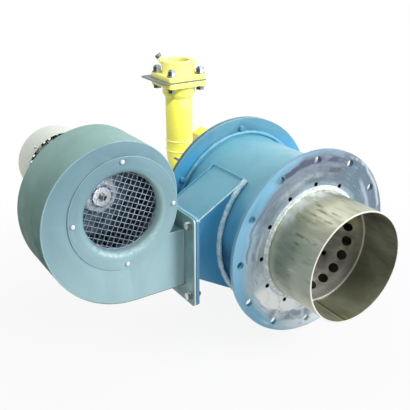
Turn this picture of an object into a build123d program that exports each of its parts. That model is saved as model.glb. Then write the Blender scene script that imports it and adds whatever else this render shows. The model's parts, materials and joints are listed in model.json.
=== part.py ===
from build123d import *

import os
from math import asin, cos, degrees, radians, sin, sqrt, tan
from typing import NamedTuple

# Gas burner with a side-mounted centrifugal fan, in millimetres.
# The origin is the centre of the mounting flange's front face. The burner fires along -Y, +Z is up,
# the fan hangs on the -X side, and the gas comes down a riser behind the burner.

os.makedirs("parts", exist_ok=True)

# ---------------------------------------------------------------- driving dimensions
seat_gap = 0.1  # radial clearance of a piece that is welded or pressed into a round seat
hole_gap = 0.5  # radial clearance of a screw in its through hole
shaft_gap = 0.04  # radial running clearance of the motor shaft in its bearings
bolt_tail = 3.0  # length of thread that stands out of a nut
blind_gap = 1.0  # room between the tip of a screw and the end of its blind hole
weld_leg = 4.5  # leg of a fillet weld on the burner head

# Mounting flange
flange_diameter = 376.0
flange_thickness = 8.0
flange_bolt_circle = 340.0
flange_bolt_count = 12
flange_bolt_hole = 15.0
lining_bolt_circle = 245.0
lining_bolt_count = 12
lining_bolt_hole = 7.0

# Flame tube and the perforated cone that holds the flame
tube_diameter = 219.1
tube_wall = 3.0
tube_reach = 120.0
tube_inside = 84.0
cone_rim_depth = 84.0
cone_lip = 2.0
cone_sheet = 2.0
cone_throat_radius = 44.0
cone_half_angle = 31.0
cone_big_hole = 20.0
cone_big_hole_radius = 90.0
cone_big_hole_count = 18
cone_small_hole = 10.0
cone_small_hole_radius = 73.0
cone_small_hole_count = 9
cone_hole_cut = 12.0

# Drum
drum_diameter = 310.0
drum_wall = 5.0
drum_length = 233.0

# Rear flange and cover
rear_flange_diameter = 384.0
rear_flange_thickness = 8.0
cover_gasket_thickness = 1.5
cover_gasket_setback = 1.0
cover_thickness = 6.0
cover_bolt_circle = 342.0
cover_bolt_count = 6
earth_stud_circle_radius = 181.0
earth_stud_angle = 139.5
earth_stud_length = 29.0

# Air duct between the fan outlet and the drum
duct_near_y = 87.0
duct_far_y = 194.0
duct_wall = 3.0
duct_mouth_height = 100.0
duct_mouth_rise = 4.0
duct_root_height = 248.0
duct_plate_face_x = -231.0
duct_plate_thickness = 6.0
duct_plate_near_y = 52.5
duct_plate_far_y = 228.5
duct_plate_height = 180.0
duct_plate_drop = 3.0
duct_plate_corner = 8.0
outlet_gasket_thickness = 1.5
outlet_gasket_setback = 2.5
outlet_bolt_inset = 17.0

# Fan casing: a scroll of four arcs around the shaft
fan_x = -353.0
fan_z = 114.0
fan_front_y = 88.0
fan_depth = 115.0
fan_sheet = 1.5
fan_flange_thickness = 3.5
scroll_left = 149.0
scroll_top = 130.5
scroll_bottom = 174.5
scroll_first_radius = 110.4
scroll_second_radius = 142.6
scroll_tongue_radius = 180.0
outlet_top_z = 54.0

# Inlet ring and its wire guard
inlet_ring_radius = 103.0
inlet_ring_sheet = 2.0
inlet_throat_radius = 72.5
inlet_roll = 12.0
inlet_depth = 23.0
inlet_screw_circle_radius = 94.5
inlet_screw_count = 4
inlet_screw_head_radius = 4.2
inlet_screw_chamfer = 1.4
inlet_screw_tail = 4.0
inlet_hole_gap = 2.0
guard_depth = 19.0
guard_wire = 1.6
guard_pitch = 9.7
guard_turn = -26.0
guard_rim = 2.4
guard_weave = 0.7  # step between the two layers of wire, as a share of the wire

# Impeller
impeller_radius = 88.0
impeller_eye_radius = 73.5
impeller_front_gap = 7.0
impeller_rear_gap = 11.0
impeller_sheet = 1.5
impeller_blade_count = 36
impeller_blade_sheet = 1.2
impeller_blade_lead = 9.0
impeller_blade_bow = 0.2  # share of the lead that is reached half way out
impeller_blade_inset = 0.3
impeller_dish_radius = 34.0
impeller_dish_depth = 7.0
impeller_dish_land = 2.0
hub_radius = 20.0
hub_rear_gap = 3.0
hub_washer_radius = 18.0
hub_washer_thickness = 4.0
hub_screw_depth = 16.0

# Motor
motor_radius = 62.0
motor_bore_radius = 55.0
motor_length = 144.0
motor_fin_tip_radius = 73.5
motor_fin_count = 20
motor_fin_thickness = 3.0
motor_fin_root = 2.0
shield_flange_radius = 80.0
shield_flange_thickness = 10.0
shield_shaft_gap = 1.0
plate_shaft_gap = 4.0
rear_shield_radius = 68.0
rear_shield_thickness = 8.0
bearing_recess = 2.0
bearing_boss_radius = 31.0
shaft_radius = 10.0
bearing_outer_radius = 23.5
bearing_width = 14.0
rotor_radius = 36.0
rotor_length = 70.0
air_gap = 0.5
winding_overhang = 13.0
winding_inner_radius = 39.5
winding_outer_radius = 52.0
motor_screw_circle_radius = 65.0
motor_screw_depth = 8.0

# Fan cowl and the small cooling fan inside it
cowl_radius = 78.0
cowl_end_radius = 75.0
cowl_sheet = 1.5
cowl_overlap = 13.0
cowl_length = 86.0
cowl_round = 18.0
cowl_slot_count = 20
cowl_slot_width = 5.0
cowl_slot_inner_radius = 20.0
cowl_slot_outer_radius = 54.0
cowl_ear_width = 16.0
cowl_screw_head = 2.5
cowl_screw_depth = 8.0
cooling_fan_gap = 8.0
cooling_fan_radius = 62.0
cooling_fan_width = 26.0
cooling_fan_sheet = 2.0
cooling_fan_hub_radius = 17.0
cooling_fan_disc_setback = 8.0
cooling_blade_root = 1.0
cooling_blade_count = 8
shaft_tail = 4.0
shaft_chamfer = 1.0

# Terminal box on the side of the motor that faces the drum
box_length = 80.0
box_width = 70.0
box_height = 32.0
box_wall = 3.0
box_corner = 6.0
box_lid_thickness = 5.0
box_saddle = 8.0
box_setback = 24.0
box_screw_inset = 7.5
box_post_radius = 5.0
box_lid_round = 2.0
lid_screw_head = 2.5
lid_screw_depth = 14.0
terminal_block_length = 20.0
terminal_block_width = 35.0
terminal_block_height = 16.0
lead_hole_radius = 9.0
gland_radius = 10.0
gland_bore_radius = 6.0
gland_flats = 24.0
gland_length = 22.0
gland_nut_length = 7.3
gland_cap_radius = 11.0
gland_round = 3.0
gland_thread = 7.0

# Gas line
gas_pipe_diameter = 66.0
gas_pipe_wall = 6.0
riser_y = 499.0
elbow_radius = 54.0
spool_height = 29.0
spool_weld_height = 3.0
spool_weld_rise = 1.4
spool_weld_round = 1.2
riser_height = 105.0
neck_height = 30.5
neck_radius = 39.5
neck_taper = 11.0
gas_flange_width = 102.0
gas_flange_depth = 96.0
gas_flange_corner = 8.0
gas_flange_thickness = 12.0
gas_gasket_thickness = 0.5
gas_gasket_radius = 40.0
slip_plate_thickness = 3.0
slip_plate_overhang = 16.0
slip_plate_back = 21.0
gas_hub_radius = 40.0
gas_hub_height = 30.5
gas_hub_chamfer = 1.5
gas_bolt_inset = 12.5
plug_root_depth = 5.0
plug_root_drop = 8.0
plug_angle = 150.0
plug_tilt = 55.0
plug_boss_radius = 6.5
plug_boss_length = 17.0
plug_depth = 6.0
plug_head = 8.0

# Gas head and lance flange
head_length = 42.0
head_wall = 4.0
head_port = 5.0
head_port_count = 12
head_port_circle_radius = 35.5
lance_flange_radius = 54.0
lance_flange_thickness = 8.0
lance_collar_length = 22.0
lance_collar_radius = 37.0
lance_bolt_circle_radius = 45.0
lance_bolt_count = 4
cover_pipe_gap = 2.0

# Capped stub pipe on the rear cover
stub_x = -21.0
stub_z = 125.0
stub_diameter = 33.7
stub_wall = 3.2
stub_reach = 109.0
cap_flats = 41.0
cap_length = 26.0
cap_end_wall = 4.0
cap_gap = 1.0

# Electrodes between the rear cover and the cone
electrode_circle_radius = 67.0
ignition_angle = 140.0
probe_angle = 60.0
insulator_radius = 6.0
electrode_radius = 1.5
electrode_lead = 14.0
insulator_lead = 14.0
insulator_reach = 40.0
electrode_tail = 12.0
terminal_radius = 3.0
collar_radius = 12.0
collar_length = 14.0


class Screw(NamedTuple):
    """Metric screw with its nut and washer."""

    radius: float
    flats: float
    head: float
    nut: float
    washer_radius: float
    washer: float


m5 = Screw(radius=2.5, flats=8.0, head=3.5, nut=4.7, washer_radius=5.0, washer=1.0)
m6 = Screw(radius=3.0, flats=10.0, head=4.0, nut=5.2, washer_radius=6.0, washer=1.6)
m8 = Screw(radius=4.0, flats=13.0, head=5.3, nut=6.8, washer_radius=8.0, washer=1.6)
m12 = Screw(radius=6.0, flats=18.0, head=7.5, nut=10.8, washer_radius=12.0, washer=2.5)

# ---------------------------------------------------------------- places that follow
tube_radius = tube_diameter / 2
tube_bore = tube_radius - tube_wall
drum_radius = drum_diameter / 2
drum_bore = drum_radius - drum_wall
drum_back_y = flange_thickness + drum_length
rear_flange_radius = rear_flange_diameter / 2
gasket_y = drum_back_y + rear_flange_thickness
cover_y = gasket_y + cover_gasket_thickness
cover_back_y = cover_y + cover_thickness

cone_rim_y = cone_rim_depth - tube_reach
cone_slope = tan(radians(cone_half_angle))
cone_radius = tube_bore - seat_gap
cone_skin = cone_sheet / cos(radians(cone_half_angle))
cone_bend_y = cone_rim_y + cone_lip
cone_throat_y = cone_bend_y + (cone_radius - cone_throat_radius - cone_skin) / cone_slope
cone_electrode_y = cone_bend_y + (cone_radius - electrode_circle_radius) / cone_slope

gas_pipe_radius = gas_pipe_diameter / 2
gas_pipe_bore = gas_pipe_radius - gas_pipe_wall
head_radius = cone_throat_radius - seat_gap
head_front_y = cone_throat_y - head_length / 2
head_back_y = head_front_y + head_length
lance_front_y = head_back_y - 2 * head_wall
lance_back_y = riser_y - elbow_radius

duct_depth = duct_far_y - duct_near_y
duct_mid_y = (duct_near_y + duct_far_y) / 2
duct_mouth_x = duct_plate_face_x + duct_plate_thickness
duct_root_x = -sqrt(drum_radius**2 - (duct_root_height / 2) ** 2)
plate_width = duct_plate_far_y - duct_plate_near_y
plate_mid_y = (duct_plate_near_y + duct_plate_far_y) / 2
plate_mid_z = -duct_plate_drop
outlet_gasket_x = duct_plate_face_x - outlet_gasket_thickness
fan_flange_x = outlet_gasket_x - fan_flange_thickness

fan_rear_y = fan_front_y + fan_depth
outlet_mid_y = (fan_front_y + fan_rear_y) / 2
scroll_left_x = fan_x - scroll_left
scroll_bottom_z = fan_z - scroll_bottom
first_centre = (scroll_left_x + scroll_second_radius, fan_z + scroll_top - scroll_first_radius)
second_centre = (scroll_left_x + scroll_second_radius, fan_z + scroll_top - scroll_second_radius)
third_radius = second_centre[1] - scroll_bottom_z
third_centre = (scroll_left_x + third_radius, second_centre[1])
tongue_centre = (first_centre[0] + scroll_first_radius - scroll_tongue_radius, first_centre[1])
tongue_angle = degrees(asin((outlet_top_z - tongue_centre[1]) / scroll_tongue_radius))
outlet_height = outlet_top_z - scroll_bottom_z
outlet_mid_z = (outlet_top_z + scroll_bottom_z) / 2

inlet_back_y = fan_front_y - inlet_ring_sheet + inlet_depth
roll_radius = inlet_throat_radius + inlet_roll
inlet_hole_radius = roll_radius + inlet_hole_gap
impeller_front_y = inlet_back_y + impeller_front_gap
impeller_back_y = fan_rear_y - fan_sheet - impeller_rear_gap
dish_front_y = impeller_back_y - impeller_dish_depth
hub_front_y = dish_front_y + impeller_sheet
hub_back_y = fan_rear_y - fan_sheet - hub_rear_gap
washer_front_y = dish_front_y - hub_washer_thickness

shield_back_y = fan_rear_y + shield_flange_thickness
motor_back_y = shield_back_y + motor_length
rear_shield_back_y = motor_back_y + rear_shield_thickness
front_bearing_y = shield_back_y - bearing_recess
rear_bearing_y = rear_shield_back_y - bearing_recess - bearing_width
motor_mid_y = (shield_back_y + motor_back_y) / 2
rotor_front_y = motor_mid_y - rotor_length / 2
cowl_front_y = rear_shield_back_y - cowl_overlap
cowl_back_y = cowl_front_y + cowl_length
cooling_fan_y = rear_shield_back_y + cooling_fan_gap
shaft_tail_y = cooling_fan_y + cooling_fan_width + shaft_tail
box_front_y = shield_back_y + box_setback
box_mid_y = box_front_y + box_length / 2
box_seat_x = fan_x + motor_radius + box_saddle
box_mouth_x = box_seat_x + box_height

spool_top_z = elbow_radius + spool_height
neck_base_z = spool_top_z + riser_height
neck_top_z = neck_base_z + neck_height
lower_gasket_z = neck_top_z + gas_flange_thickness
slip_plate_z = lower_gasket_z + gas_gasket_thickness
upper_gasket_z = slip_plate_z + slip_plate_thickness
upper_flange_z = upper_gasket_z + gas_gasket_thickness
hub_base_z = upper_flange_z + gas_flange_thickness
gas_top_z = hub_base_z + gas_hub_height
plug_out = Vector(cos(radians(plug_angle)), sin(radians(plug_angle)), 0)
plug_axis = plug_out * cos(radians(plug_tilt)) + Vector(0, 0, sin(radians(plug_tilt)))
plug_root = (
    Vector(0, riser_y, gas_top_z - plug_root_drop) + plug_out * (gas_hub_radius - plug_root_depth)
)
plug_root_plane = Plane(origin=plug_root, z_dir=plug_axis)
plug_seat_plane = plug_root_plane.offset(plug_boss_length)

fan_axis = Axis((fan_x, 0, fan_z), (0, 1, 0))
riser_axis = Axis((0, riser_y, 0), (0, 0, 1))
fan_half_plane = Plane(origin=(fan_x, 0, fan_z), x_dir=(1, 0, 0), z_dir=(0, 0, 1))
riser_half_plane = Plane(origin=(0, riser_y, 0), x_dir=(1, 0, 0), z_dir=(0, -1, 0))


# ---------------------------------------------------------------- shared forms
def upright(y, x=0.0, z=0.0):
    """Plane across the burner at depth y. Extruding by a negative amount goes back, along +Y."""
    return Plane(origin=(x, y, z), x_dir=(1, 0, 0), z_dir=(0, -1, 0))


def level(z, x=0.0, y=0.0):
    """Horizontal plane at height z."""
    return Plane(origin=(x, y, z), x_dir=(1, 0, 0), z_dir=(0, 0, 1))


def sideways(x, y=0.0, z=0.0):
    """Plane across the air duct at x, drawn with local x along Y and local y along Z."""
    return Plane(origin=(x, y, z), x_dir=(0, 1, 0), z_dir=(1, 0, 0))


def around(centre, radius, angle):
    """Point on a circle that lies across the burner."""
    return (centre[0] + radius * cos(radians(angle)), centre[1] + radius * sin(radians(angle)))


def ring(plane, outer, inner, thickness):
    """Flat ring extruded from a plane."""
    with BuildPart() as piece:
        with BuildSketch(plane):
            Circle(outer)
            Circle(inner, mode=Mode.SUBTRACT)
        extrude(amount=thickness)
    return piece.part


def bolt_and_nut(screw, plane, places, grip):
    """Hexagon bolts through a grip, with washers and nuts. The plane faces the side of the heads."""
    nut_bore = screw.radius + seat_gap
    with BuildPart() as bolts:
        with BuildSketch(plane):
            with Locations(*places):
                Circle(screw.washer_radius)
        extrude(amount=screw.washer)
        with BuildSketch(plane.offset(screw.washer)):
            with Locations(*places):
                RegularPolygon(screw.flats / 2, 6, major_radius=False)
        extrude(amount=screw.head)
        with BuildSketch(plane):
            with Locations(*places):
                Circle(screw.radius)
        extrude(amount=-(grip + screw.washer + screw.nut + bolt_tail))
    with BuildPart() as nuts:
        with BuildSketch(plane.offset(-grip)):
            with Locations(*places):
                Circle(screw.washer_radius)
                Circle(nut_bore, mode=Mode.SUBTRACT)
        extrude(amount=-screw.washer)
        with BuildSketch(plane.offset(-grip - screw.washer)):
            with Locations(*places):
                RegularPolygon(screw.flats / 2, 6, major_radius=False)
                Circle(nut_bore, mode=Mode.SUBTRACT)
        extrude(amount=-screw.nut)
    return bolts.part.solids() + nuts.part.solids()


def fillet_weld(radius, y, side):
    """Fillet weld around a pipe against a flange face at y, behind the face (1) or in front of it (-1)."""
    with BuildPart() as weld:
        with BuildSketch(Plane.XY):
            with BuildLine():
                Polyline((radius, y), (radius + weld_leg, y), (radius, y + side * weld_leg), close=True)
            make_face()
        revolve(axis=Axis.Y)
    return weld.part


def scroll_outline():
    """Outline of the fan casing: four arcs around the shaft and the straight outlet."""
    corner = (fan_flange_x, scroll_bottom_z)
    with BuildSketch() as outline:
        with BuildLine():
            Line(corner, (third_centre[0], scroll_bottom_z))
            CenterArc(third_centre, third_radius, 180, 90)
            CenterArc(second_centre, scroll_second_radius, 90, 90)
            CenterArc(first_centre, scroll_first_radius, 0, 90)
            side = CenterArc(tongue_centre, scroll_tongue_radius, tongue_angle, -tongue_angle)
            roof = Line(side @ 0, (fan_flange_x, outlet_top_z))
            Line(roof @ 1, corner)
        make_face()
    return outline.sketch


def duct_outline(inset):
    """Side of the flared air duct, from its mouth to the middle of the drum."""
    mouth_top = duct_mouth_rise + duct_mouth_height / 2 - inset
    mouth_bottom = duct_mouth_rise - duct_mouth_height / 2 + inset
    root = duct_root_height / 2 - inset
    with BuildSketch() as outline:
        with BuildLine():
            Polyline(
                (duct_mouth_x, mouth_bottom),
                (duct_mouth_x, mouth_top),
                (duct_root_x, root),
                (0, root),
                (0, -root),
                (duct_root_x, -root),
                close=True,
            )
        make_face()
    return outline.sketch


def places_around(centre, radius, count, start):
    """Evenly spaced places on a circle, the first of them at the start angle."""
    return [around(centre, radius, start + 360 / count * k) for k in range(count)]


def corner_places(spacing_x, spacing_y):
    """The four corners of a rectangle."""
    signs = (-1, 1)
    return [(x_side * spacing_x / 2, y_side * spacing_y / 2) for x_side in signs for y_side in signs]


fan_centre = (fan_x, fan_z)
burner_centre = (0, 0)
cover_bolt_places = places_around(
    burner_centre, cover_bolt_circle / 2, cover_bolt_count, 180 / cover_bolt_count
)
lance_bolt_places = places_around(burner_centre, lance_bolt_circle_radius, lance_bolt_count, 45)
ignition_place = around((0, 0), electrode_circle_radius, ignition_angle)
probe_place = around((0, 0), electrode_circle_radius, probe_angle)
motor_screw_places = places_around(fan_centre, motor_screw_circle_radius, 4, 45)
inlet_screw_places = places_around(fan_centre, inlet_screw_circle_radius, inlet_screw_count, 0)
outlet_bolt_places = corner_places(
    plate_width - 2 * outlet_bolt_inset, duct_plate_height - 2 * outlet_bolt_inset
)
gas_bolt_places = corner_places(
    gas_flange_width - 2 * gas_bolt_inset, gas_flange_depth - 2 * gas_bolt_inset
)

# ---------------------------------------------------------------- burner head
with BuildPart() as front_flange:
    with BuildSketch(upright(0)):
        Circle(flange_diameter / 2)
        Circle(tube_radius + seat_gap, mode=Mode.SUBTRACT)
        with PolarLocations(flange_bolt_circle / 2, flange_bolt_count):
            Circle(flange_bolt_hole / 2, mode=Mode.SUBTRACT)
        with PolarLocations(lining_bolt_circle / 2, lining_bolt_count):
            Circle(lining_bolt_hole / 2, mode=Mode.SUBTRACT)
    extrude(amount=-flange_thickness)
    add(fillet_weld(tube_radius + seat_gap, 0, -1))

with BuildPart() as flame_tube:
    add(ring(upright(-tube_reach), tube_radius, tube_bore, -(tube_reach + tube_inside)))


def cone_hole_planes(radius, count, start_angle):
    """Planes square to the cone's wall, for one row of holes."""
    y = cone_bend_y + (cone_radius - radius) / cone_slope
    planes = []
    for k in range(count):
        angle = radians(start_angle + 360 / count * k)
        inward = (
            -cos(angle) * cos(radians(cone_half_angle)),
            -sin(radians(cone_half_angle)),
            -sin(angle) * cos(radians(cone_half_angle)),
        )
        planes.append(Plane(origin=(radius * cos(angle), y, radius * sin(angle)), z_dir=inward))
    return planes


with BuildPart() as flame_cone:
    with BuildSketch(Plane.XY):
        with BuildLine():
            Polyline(
                (cone_radius, cone_rim_y),
                (cone_radius, cone_bend_y),
                (cone_throat_radius + cone_skin, cone_throat_y),
                (cone_throat_radius, cone_throat_y),
                (cone_radius - cone_sheet, cone_bend_y - (cone_skin - cone_sheet) / cone_slope),
                (cone_radius - cone_sheet, cone_rim_y),
                close=True,
            )
        make_face()
    revolve(axis=Axis.Y)
    big_hole_start = 180 / cone_big_hole_count
    with Locations(*cone_hole_planes(cone_big_hole_radius, cone_big_hole_count, big_hole_start)):
        Cylinder(cone_big_hole / 2, cone_hole_cut, mode=Mode.SUBTRACT)
    with Locations(*cone_hole_planes(cone_small_hole_radius, cone_small_hole_count, 0)):
        Cylinder(cone_small_hole / 2, cone_hole_cut, mode=Mode.SUBTRACT)
    with BuildSketch(upright(cone_rim_y)):
        with Locations(ignition_place, probe_place):
            Circle(insulator_radius + hole_gap)
    extrude(amount=-(cone_throat_y - cone_rim_y), mode=Mode.SUBTRACT)

with BuildPart() as drum:
    add(ring(upright(flange_thickness), drum_radius, drum_bore, -drum_length))
    add(fillet_weld(drum_radius, flange_thickness, 1))
    add(fillet_weld(drum_radius, drum_back_y, -1))
    with BuildSketch(upright(duct_near_y + duct_wall)):
        add(duct_outline(duct_wall))
    extrude(amount=-(duct_depth - 2 * duct_wall), mode=Mode.SUBTRACT)

with BuildPart() as rear_flange:
    with BuildSketch(upright(drum_back_y)):
        Circle(rear_flange_radius)
        Circle(drum_bore, mode=Mode.SUBTRACT)
        with Locations(*cover_bolt_places):
            Circle(m6.radius + hole_gap, mode=Mode.SUBTRACT)
    extrude(amount=-rear_flange_thickness)

with BuildPart() as cover_gasket:
    with BuildSketch(upright(gasket_y)):
        Circle(rear_flange_radius - cover_gasket_setback)
        Circle(drum_bore, mode=Mode.SUBTRACT)
        with Locations(*cover_bolt_places):
            Circle(m6.radius + hole_gap, mode=Mode.SUBTRACT)
    extrude(amount=-cover_gasket_thickness)

with BuildPart() as rear_cover:
    with BuildSketch(upright(cover_y)):
        Circle(rear_flange_radius)
        Circle(gas_pipe_radius + cover_pipe_gap, mode=Mode.SUBTRACT)
        with Locations(*cover_bolt_places):
            Circle(m6.radius + hole_gap, mode=Mode.SUBTRACT)
        with Locations(*lance_bolt_places):
            Circle(m6.radius + hole_gap, mode=Mode.SUBTRACT)
        with Locations((stub_x, stub_z)):
            Circle(stub_diameter / 2 + seat_gap, mode=Mode.SUBTRACT)
        with Locations(ignition_place, probe_place):
            Circle(insulator_radius + hole_gap, mode=Mode.SUBTRACT)
    extrude(amount=-cover_thickness)
    with BuildSketch(upright(cover_back_y)):
        with Locations(around(burner_centre, earth_stud_circle_radius, earth_stud_angle)):
            Circle(m5.radius)
    extrude(amount=-earth_stud_length)

cover_stack = rear_flange_thickness + cover_gasket_thickness + cover_thickness
with BuildPart() as cover_bolts:
    add(bolt_and_nut(m6, upright(drum_back_y), cover_bolt_places, cover_stack))

# ---------------------------------------------------------------- air duct
with BuildPart() as air_duct:
    with BuildSketch(upright(duct_near_y)):
        add(duct_outline(0))
    extrude(amount=-duct_depth)
    with BuildSketch(upright(duct_near_y + duct_wall)):
        add(duct_outline(duct_wall))
    extrude(amount=-(duct_depth - 2 * duct_wall), mode=Mode.SUBTRACT)
    with BuildSketch(upright(duct_near_y)):
        Circle(drum_radius + seat_gap)
        with Locations((drum_radius, 0)):
            Rectangle(2 * drum_radius, 2 * drum_radius)
    extrude(amount=-duct_depth, mode=Mode.SUBTRACT)

with BuildPart() as duct_plate:
    with BuildSketch(sideways(duct_plate_face_x, plate_mid_y, plate_mid_z)):
        RectangleRounded(plate_width, duct_plate_height, duct_plate_corner)
        with Locations((duct_mid_y - plate_mid_y, duct_mouth_rise - plate_mid_z)):
            Rectangle(duct_depth - 2 * duct_wall, duct_mouth_height - 2 * duct_wall, mode=Mode.SUBTRACT)
        with Locations(*outlet_bolt_places):
            Circle(m8.radius + hole_gap, mode=Mode.SUBTRACT)
    extrude(amount=duct_plate_thickness)

outlet_bore_width = fan_depth - 2 * fan_sheet
outlet_gasket_width = plate_width - 2 * outlet_gasket_setback
outlet_gasket_height = duct_plate_height - 2 * outlet_gasket_setback
outlet_bore_height = outlet_height - 2 * fan_sheet
with BuildPart() as outlet_gasket:
    with BuildSketch(sideways(outlet_gasket_x, plate_mid_y, plate_mid_z)):
        RectangleRounded(outlet_gasket_width, outlet_gasket_height, duct_plate_corner)
        with Locations((outlet_mid_y - plate_mid_y, outlet_mid_z - plate_mid_z)):
            Rectangle(outlet_bore_width, outlet_bore_height, mode=Mode.SUBTRACT)
        with Locations(*outlet_bolt_places):
            Circle(m8.radius + hole_gap, mode=Mode.SUBTRACT)
    extrude(amount=outlet_gasket_thickness)

with BuildPart() as fan_flange:
    with BuildSketch(sideways(fan_flange_x, plate_mid_y, plate_mid_z)):
        RectangleRounded(plate_width, duct_plate_height, duct_plate_corner)
        with Locations((outlet_mid_y - plate_mid_y, outlet_mid_z - plate_mid_z)):
            Rectangle(outlet_bore_width, outlet_bore_height, mode=Mode.SUBTRACT)
        with Locations(*outlet_bolt_places):
            Circle(m8.radius + hole_gap, mode=Mode.SUBTRACT)
    extrude(amount=fan_flange_thickness)

outlet_stack = fan_flange_thickness + outlet_gasket_thickness + duct_plate_thickness
outlet_bolt_plane = Plane(
    origin=(fan_flange_x, plate_mid_y, plate_mid_z),
    x_dir=(0, 1, 0),
    z_dir=(-1, 0, 0),
)
with BuildPart() as outlet_bolts:
    add(bolt_and_nut(m8, outlet_bolt_plane, [(y, -z) for y, z in outlet_bolt_places], outlet_stack))

# ---------------------------------------------------------------- fan casing
with BuildPart() as fan_front_plate:
    with BuildSketch(upright(fan_front_y)) as front_face:
        add(scroll_outline())
        with Locations((fan_x, fan_z)):
            Circle(inlet_hole_radius, mode=Mode.SUBTRACT)
        with Locations(*inlet_screw_places):
            Circle(m5.radius + seat_gap, mode=Mode.SUBTRACT)
    extrude(amount=-fan_sheet)

with BuildPart() as fan_scroll:
    with BuildSketch(upright(fan_front_y + fan_sheet)):
        add(scroll_outline())
        offset(amount=-fan_sheet, mode=Mode.SUBTRACT)
        with Locations((fan_flange_x, outlet_mid_z)):
            Rectangle(4 * fan_sheet, outlet_bore_height, mode=Mode.SUBTRACT)
    extrude(amount=-(fan_depth - 2 * fan_sheet))

with BuildPart() as fan_rear_plate:
    with BuildSketch(upright(fan_rear_y - fan_sheet)):
        add(scroll_outline())
        with Locations((fan_x, fan_z)):
            Circle(shaft_radius + plate_shaft_gap, mode=Mode.SUBTRACT)
        with Locations(*motor_screw_places):
            Circle(m8.radius + hole_gap, mode=Mode.SUBTRACT)
    extrude(amount=-fan_sheet)

ring_front_y = fan_front_y - inlet_ring_sheet
roll_centre_y = ring_front_y + inlet_roll
half_root = sqrt(0.5)
with BuildPart() as inlet_ring:
    with BuildSketch(fan_half_plane):
        with BuildLine():
            Line((inlet_ring_radius, ring_front_y), (roll_radius, ring_front_y))
            ThreePointArc(
                (roll_radius, ring_front_y),
                (roll_radius - inlet_roll * half_root, roll_centre_y - inlet_roll * half_root),
                (inlet_throat_radius, roll_centre_y),
            )
            Polyline(
                (inlet_throat_radius, roll_centre_y),
                (inlet_throat_radius, inlet_back_y),
                (inlet_throat_radius + inlet_ring_sheet, inlet_back_y),
                (inlet_throat_radius + inlet_ring_sheet, roll_centre_y),
            )
            ThreePointArc(
                (inlet_throat_radius + inlet_ring_sheet, roll_centre_y),
                (
                    roll_radius - (inlet_roll - inlet_ring_sheet) * half_root,
                    roll_centre_y - (inlet_roll - inlet_ring_sheet) * half_root,
                ),
                (roll_radius, fan_front_y),
            )
            Polyline(
                (roll_radius, fan_front_y),
                (inlet_ring_radius, fan_front_y),
                (inlet_ring_radius, ring_front_y),
            )
        make_face()
    revolve(axis=fan_axis)
    with BuildSketch(upright(ring_front_y)):
        with Locations(*inlet_screw_places):
            Circle(m5.radius + seat_gap)
    extrude(amount=-inlet_ring_sheet, mode=Mode.SUBTRACT)

with BuildPart() as inlet_screws:
    with BuildSketch(upright(ring_front_y)):
        with Locations(*inlet_screw_places):
            Circle(inlet_screw_head_radius)
    extrude(amount=m5.head)
    head_faces = inlet_screws.faces().filter_by(Axis.Y).sort_by(Axis.Y)[:inlet_screw_count]
    chamfer(head_faces.edges(), inlet_screw_chamfer)
    with BuildSketch(upright(ring_front_y)):
        with Locations(*inlet_screw_places):
            Circle(m5.radius)
    extrude(amount=-(inlet_ring_sheet + fan_sheet + inlet_screw_tail))

guard_y = ring_front_y + guard_depth
guard_radius = inlet_throat_radius - seat_gap
guard_side_count = int((guard_radius - guard_rim) / guard_pitch)
guard_lines = [guard_pitch * k for k in range(-guard_side_count, guard_side_count + 1)]
guard_step = guard_weave * guard_wire
guard_plane = upright(guard_y, fan_x, fan_z)
with BuildPart() as wire_guard:
    add(ring(guard_plane, guard_radius, guard_radius - guard_rim, -(guard_wire + guard_step)))
    for turn, depth in ((guard_turn, guard_y), (guard_turn + 90, guard_y + guard_step)):
        with BuildSketch(upright(depth, fan_x, fan_z)):
            with Locations(Rotation(0, 0, turn)):
                for line in guard_lines:
                    reach = abs(line) + guard_wire / 2
                    half_chord = sqrt(guard_radius**2 - reach**2) - guard_rim / 2
                    with Locations((0, line)):
                        Rectangle(2 * half_chord, guard_wire)
        extrude(amount=-guard_wire)

# ---------------------------------------------------------------- impeller
blade_turn = degrees(impeller_blade_sheet / impeller_eye_radius)
blade_mid_radius = (impeller_radius + impeller_eye_radius) / 2
blade_root_radius = impeller_eye_radius + impeller_blade_inset
blade_tip_radius = impeller_radius - impeller_blade_inset
blade_bow = impeller_blade_bow * impeller_blade_lead
with BuildPart() as impeller:
    with BuildSketch(upright(impeller_front_y + impeller_sheet, fan_x, fan_z)):
        for k in range(impeller_blade_count):
            start = 360 / impeller_blade_count * k
            with BuildLine():
                lead = ThreePointArc(
                    around((0, 0), blade_root_radius, start),
                    around((0, 0), blade_mid_radius, start + blade_bow),
                    around((0, 0), blade_tip_radius, start + impeller_blade_lead),
                )
                trail = ThreePointArc(
                    around((0, 0), blade_tip_radius, start + impeller_blade_lead + blade_turn),
                    around((0, 0), blade_mid_radius, start + blade_bow + blade_turn),
                    around((0, 0), blade_root_radius, start + blade_turn),
                )
                Line(lead @ 1, trail @ 0)
                Line(trail @ 1, lead @ 0)
            make_face()
    extrude(amount=-(impeller_back_y - impeller_front_y - impeller_sheet))
    eye_plane = upright(impeller_front_y, fan_x, fan_z)
    add(ring(eye_plane, impeller_radius, impeller_eye_radius, -impeller_sheet))
    with BuildSketch(fan_half_plane):
        with BuildLine():
            Polyline(
                (impeller_radius, impeller_back_y),
                (impeller_dish_radius, impeller_back_y),
                (hub_radius + impeller_dish_land, dish_front_y),
                (shaft_radius + seat_gap, dish_front_y),
                (shaft_radius + seat_gap, dish_front_y + impeller_sheet),
                (hub_radius + impeller_dish_land, dish_front_y + impeller_sheet),
                (impeller_dish_radius, impeller_back_y + impeller_sheet),
                (impeller_radius, impeller_back_y + impeller_sheet),
                close=True,
            )
        make_face()
    revolve(axis=fan_axis)

hub_plane = upright(hub_front_y, fan_x, fan_z)
with BuildPart() as impeller_hub:
    add(ring(hub_plane, hub_radius, shaft_radius + seat_gap, hub_front_y - hub_back_y))

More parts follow.
